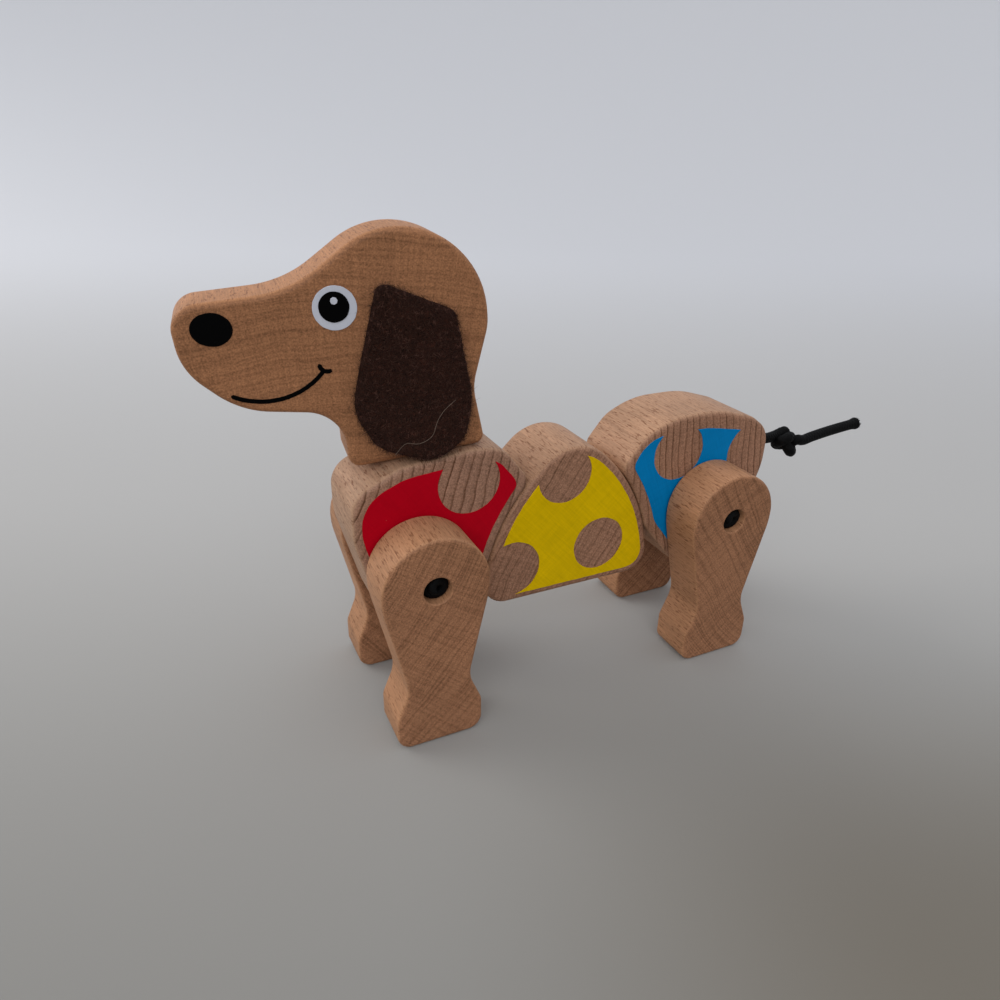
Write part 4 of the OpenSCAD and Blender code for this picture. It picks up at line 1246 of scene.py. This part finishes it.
# %% Braid material
def build_braid(name, worn):
    """Black braided cover: strands run both ways round the cord and the threads in them shine."""
    material, d, shader = new_material(name, 0.45, Specular_IOR_Level=0.12)
    address = d.add("ShaderNodeUVMap", uv_map="surface").outputs[0]
    split = d.add("ShaderNodeSeparateXYZ", {0: address}).outputs
    threads = d.math("SINE", d.times(d.plus(d.times(split[0], 5.0), split[1]), 150.0))
    dust = d.noise(d.scale(place(d), PER_MM), 1.6, 3, 0.6)
    lint = d.step(dust, 0.58, 0.72)
    amount = d.plus(d.times(lint, worn), d.times(threads, 0.04), clamp=True)
    d.feed(shader["Base Color"], d.mix(amount, (0.0010, 0.0010, 0.0012, 1), (0.035, 0.034, 0.036, 1)))
    d.feed(shader["Roughness"], d.plus(0.55, d.times(dust, 0.25)))
    d.feed(shader["Normal"], bump(d, d.times(threads, 0.5), 0.35, 0.00005))
    return material


braid_material = build_braid("black_braid", 0.15)


def braided(name, line, at, d_mm, sides, body, node=None, material=braid_material, flare=None):
    """A braided tube along a line, with its address in the surface map."""
    radius = braid_radius(at, sides, d_mm)
    if flare is not None:
        radius = radius * flare[:, None]
    points, faces = tube(line, radius, sides)
    piece = make_piece(name, points, faces, body, material)
    round_about = np.tile(np.arange(sides) / sides, len(line))
    set_uv(piece, np.stack([round_about, np.repeat(at / 100, sides)], axis=1))
    if node:
        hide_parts(node)
    return piece


# %% [markdown]
# The tail is a little thicker than the cord in the blocks, and it flares at its cut end: the radius
# grows by a bell curve of the length that is left.

# %% The tail
tail_fine, tail_far = even_line(smooth_line(TAIL_ROUTE, 24), 0.14)
left = tail_far[-1] - tail_far
flare = 1.06 + 0.22 * np.exp(-(left / 1.5)**2)
tail = braided("tail_cord_braid", tail_fine, tail_far, CORD_D, 48, "rear", "tail_cord", flare=flare)
print("tail:", len(tail.data.polygons), "faces")

# %% [markdown]
# The cords inside the blocks show when the dog is stretched, so they are braided too. Each ends where
# its body ends: the elastic is one piece in the real dog, and here it is cut between the bodies.

# %% Cords inside the wood
SEAT_X = MID_X + HUMP_CX - math.sqrt(SEAT_R**2 - (SPINE_Z - HUMP_CZ)**2)
HUMP_X = SEAT_X + SEAT_GAP
CUT_FRONT, CUT_MIDDLE = SEAT_X - 8, HUMP_X + 4
TURN_R = CORD_D / 2 + 1


def straight(start, end, gap=0.25):
    """Points along a straight run of cord and how far along it each one is."""
    start, end = np.array(start, float), np.array(end, float)
    far = np.linspace(0, np.linalg.norm(end - start), max(2, int(np.linalg.norm(end - start) / gap) + 1))
    return start + (end - start) * (far / far[-1])[:, None], far


bend_up = (SPINE_Z - NECK_Z + TURN_R * (1 - math.sin(LEAN))) / math.cos(LEAN)
way = np.linspace(math.pi, 1.5 * math.pi - LEAN, 13)[:, None]
down = np.array([[NECK_X, 0, KNOT_Z - SINK_D / 2], [NECK_X, 0, bend_up + 0.3]])
round_in = np.hstack([NECK_X + TURN_R + TURN_R * np.cos(way), 0 * way, bend_up + TURN_R * np.sin(way)])
leaned = np.array(Matrix.Translation((NECK_X, 0, NECK_Z)) @ Matrix.Rotation(-LEAN, 4, "Y")
                  @ Matrix.Translation((-NECK_X, 0, 0)))
neck_way = np.vstack([down, round_in]) @ leaned[:3, :3].T + leaned[:3, 3]
neck_way, neck_far = even_line(np.vstack([neck_way, [[CUT_FRONT, 0, SPINE_Z]]]), 0.25)
braided("neck_cord_braid", neck_way, neck_far, CORD_D, 24, "front", "neck_cord")
cuts = [CUT_FRONT, CUT_MIDDLE, 2 * MID_X - CUT_MIDDLE, 2 * MID_X - CUT_FRONT, TAIL_START]
parts = [("front", "front"), ("middle", "middle"), ("rear", "rear"), ("end", "rear")]
runs = [(f"spine_cord_{part}", body, (start, 0, SPINE_Z), (end, 0, SPINE_Z))
        for (part, body), start, end in zip(parts, cuts, cuts[1:])]
CORD_OUT = LEG_OUT - SINK_DEPTH
runs += [(f"{body}_leg_cord", body, (x, -CORD_OUT, AXLE_H), (x, CORD_OUT, AXLE_H))
         for body, x in (("front", 0), ("rear", WHEELBASE))]
for name, body, start, end in runs:
    braided(f"{name}_braid", *straight(start, end), CORD_D, 24, body, name)
print("inner cords:", len(runs) + 1)

# %% [markdown]
# Each leg cord is knotted outside its leg, and the knot sinks into the wide hole. What shows there is
# the elastic wound hard round itself, with the cut end of the cord beside it. Where the end is wide
# enough it shows its pale rubber threads, and elsewhere the cover closes over it. The cord is
# stretched as it is tied, so it is thinner there.

# %% Knots
WRAP_D = 2.5


def knot_line(turns, radius, depth, rest=0.0, gap=0.12):
    """A tight coil that rises by depth and whose end turns in and out of the hole: a helix, then
    half a turn whose radius falls to rest."""
    t = np.linspace(0, 1, 400)
    a = 2 * np.pi * turns * t
    wind = np.stack([radius * np.cos(a), radius * np.sin(a), depth * t], axis=1)
    s = np.linspace(0, 1, 120)[1:]
    b = a[-1] + np.pi * s
    r = rest + (radius - rest) * (1 - s) ** 0.8
    close = np.stack([r * np.cos(b), r * np.sin(b), depth + 1.1 * np.sin(s * np.pi / 2)], axis=1)
    return even_line(np.vstack([wind, close]), gap)


# %% [markdown]
# A knot is the coil, laid into its hole, and a short core that looks out of its end.

# %% Sunk knots
rubber_material, d, shader = new_material("rubber_core", 0.8, Specular_IOR_Level=0.3)
threads = d.add("ShaderNodeTexVoronoi", {"Vector": d.scale(place(d), PER_MM), "Scale": 2.6}).outputs["Distance"]
d.feed(shader["Base Color"], d.mix(d.step(threads, 0.25, 0.6), (0.42, 0.41, 0.38, 1), (0.06, 0.058, 0.055, 1)))
d.feed(shader["Normal"], bump(d, threads, 0.6, 0.0002))


def sunk_knot(name, x, z, side, spin, body, out_y, depth, rest=0.0, core_r=0.8):
    """A knot with its cut end: coil coordinates (across, up, out) laid into a hole along Y."""
    line, far = knot_line(1.75, (SINK_D - 0.35 - WRAP_D) / 2, depth - WRAP_D, rest)
    c, s = math.cos(spin), math.sin(spin)
    across, up = c * line[:, 0] - s * line[:, 1], s * line[:, 0] + c * line[:, 1]
    start_y = out_y - depth + WRAP_D / 2
    placed = np.stack([x + across, side * (start_y + line[:, 2]), z + up], axis=1)
    placed = on_head(placed) if body == "head" else placed
    wrap = braided(f"{name}_wrap", placed, far, WRAP_D, 32, body, name)
    end, push = placed[-1], placed[-1] - placed[-4]
    push /= np.linalg.norm(push)
    stub, _ = even_line(np.array([end - 0.5 * push, end + 0.12 * push]), 0.2)
    points, faces = tube(stub, np.linspace(core_r, 0.92 * core_r, len(stub))[:, None], 24)
    core = make_piece(f"{name}_core", points, faces, body,
                      rubber_material if core_r > 0.7 else braid_material)
    return wrap, core


knot_places = [("front_left", 0.0, LEFT, 2.2, 0.3, 0.6), ("front_right", 0.0, RIGHT, 0.7, 0.0, 0.8),
               ("rear_left", WHEELBASE, LEFT, 1.7, 1.2, 1.05), ("rear_right", WHEELBASE, RIGHT, 5.0, 0.5, 0.9)]
for name, x, side, spin, rest, core_r in knot_places:
    sunk_knot(f"{name}_knot", x, AXLE_H, side, spin, f"{name}_leg", LEG_OUT - 1.2, SINK_DEPTH - 1.2,
              rest, core_r)
sunk_knot("head_knot", NECK_X, KNOT_Z, LEFT, 1.0, "head", HALF_HEAD - 0.6, 2 * HALF_HEAD - 1.2)
print("knots:", len(knot_places) + 1)

# %% [markdown]
# ## Frayed end
# The cut end of the tail shows its pale rubber core inside the cover, whose threads have sprung open.

# %% Tail end
end, push = tail_fine[-1], tail_fine[-1] - tail_fine[-12]
push /= np.linalg.norm(push)
stub, _ = even_line(np.array([end - 0.6 * push, end + 0.35 * push]), 0.25)
points, faces = tube(stub, np.linspace(1.25, 1.1, len(stub))[:, None], 32)
core = make_piece("tail_core", points, faces, "rear", rubber_material)
rng = np.random.default_rng(12)
THREADS = 90
turn = 2 * np.pi * np.arange(THREADS) / THREADS + rng.normal(0, 0.05, THREADS)
_, across, up = carried_frames(tail_fine[-3:])
spread = np.cos(turn)[:, None] * across[-1] + np.sin(turn)[:, None] * up[-1]
t = np.linspace(0, 1, 4)[None, :, None]
reach = rng.uniform(0.5, 1.3, THREADS)[:, None, None]
lines = end - 0.5 * push + 1.55 * spread[:, None] + reach * (t * push + 0.45 * t**2 * spread[:, None])
p, faces = blades(lines, spread, np.cross(push, spread), 0.07)
fray = make_piece("tail_fray", p, faces, "rear", None)
fray_material, d, shader = new_material("cover_threads", 0.6, Specular_IOR_Level=0.3)
shades = d.noise(d.scale(place(d), PER_MM), 3.0)
d.feed(shader["Base Color"], d.mix(shades, (0.01, 0.01, 0.011, 1), (0.05, 0.05, 0.05, 1)))
fray.data.materials.append(fray_material)
print("frayed end:", len(fray.data.polygons), "faces")

# %% [markdown]
# ## Floor and light
# The photo has one plain pale ground with no horizon, so the floor is a wide bowl: flat under the
# dog, then rising in an arc. It is a turned surface, with the arc's height the radius of the arc
# times one less the cosine. Its colour is palest far away and warmer and darker near the camera,
# and darkest at the near right, where the colour is painted shade for the dog's own shadow.

# %% Floor
FLAT, ARC, RIM_ANGLE = 0.9, 1.5, math.radians(70)
bend = np.linspace(0, RIM_ANGLE, 40)
reach = np.r_[0.01, np.linspace(0.1, FLAT, 9)[:-1], FLAT + ARC * np.sin(bend)]
rise = np.r_[np.zeros(9), ARC * (1 - np.cos(bend))]
around = 2 * np.pi * np.arange(96) / 96
bowl = np.stack([reach[:, None] * np.cos(around), reach[:, None] * np.sin(around),
                 np.broadcast_to(rise[:, None], (len(rise), 96))], axis=-1).reshape(-1, 3)
mesh = bpy.data.meshes.new("floor")
mesh.from_pydata(bowl.tolist(), [], grid_faces(len(rise), 96)[:, ::-1].tolist() + [list(range(96))])
mesh.shade_smooth()
floor = bpy.data.objects.new("floor", mesh)
scene.collection.objects.link(floor)
floor_material, d, shader = new_material("pale_floor", 0.95, Specular_IOR_Level=0.0)
ahead = d.along(place(d), (0.43, 0.90, 0.0))
aside = d.along(place(d), (0.905, -0.425, 0.0))
near = d.mix(d.step(ahead, -0.2, 0.12), (0.24, 0.232, 0.215, 1), (0.44, 0.43, 0.415, 1))
# Painted shade: the floor's colour darkens at the near right, standing for the dog's own shadow there.
painted_shade = d.times(d.step(aside, -0.03, 0.09), d.minus(1.0, d.step(ahead, -0.11, 0.02)))
near = d.mix(painted_shade, near, (0.19, 0.172, 0.145, 1))
d.feed(shader["Base Color"], d.mix(d.step(ahead, -0.1, 0.9), near, (0.66, 0.665, 0.69, 1)))
mesh.materials.append(floor_material)
print("floor:", len(mesh.polygons), "faces")

# %% [markdown]
# The light is soft, as by a window. One wide lamp stands high on the left of the picture and a little
# behind the dog, a wider one fills from above the camera, and a pale room gives the rest.

# %% Lamps
def soft_lamp(name, at, aim, size, power, color=(1, 1, 1)):
    lamp = bpy.data.lights.new(name, "AREA")
    lamp.shape, lamp.size, lamp.energy, lamp.color = "DISK", size, power, color
    thing = bpy.data.objects.new(name, lamp)
    way = np.array(at, float) - np.array(aim, float)
    way /= np.linalg.norm(way)
    side = np.cross((0, 0, 1), way)
    side /= np.linalg.norm(side)
    turned = Matrix((side, np.cross(way, side), way)).transposed().to_4x4()
    thing.matrix_world = Matrix.Translation(at) @ turned
    scene.collection.objects.link(thing)
    return thing


soft_lamp("key", (-1.15, 0.9, 0.95), (0, 0, 0.04), 1.1, 9, (1.0, 0.99, 0.97))
soft_lamp("fill", (-0.8, -1.4, 1.0), (0, 0, 0.05), 1.8, 13, (0.98, 0.99, 1.0))
world_light = bpy.data.worlds.new("pale_room")
world_light.use_nodes = True
room = world_light.node_tree.nodes["Background"].inputs
room["Color"].default_value = (0.84, 0.86, 0.90, 1)
room["Strength"].default_value = 0.9
scene.world = world_light
scene.view_settings.view_transform = "Standard"
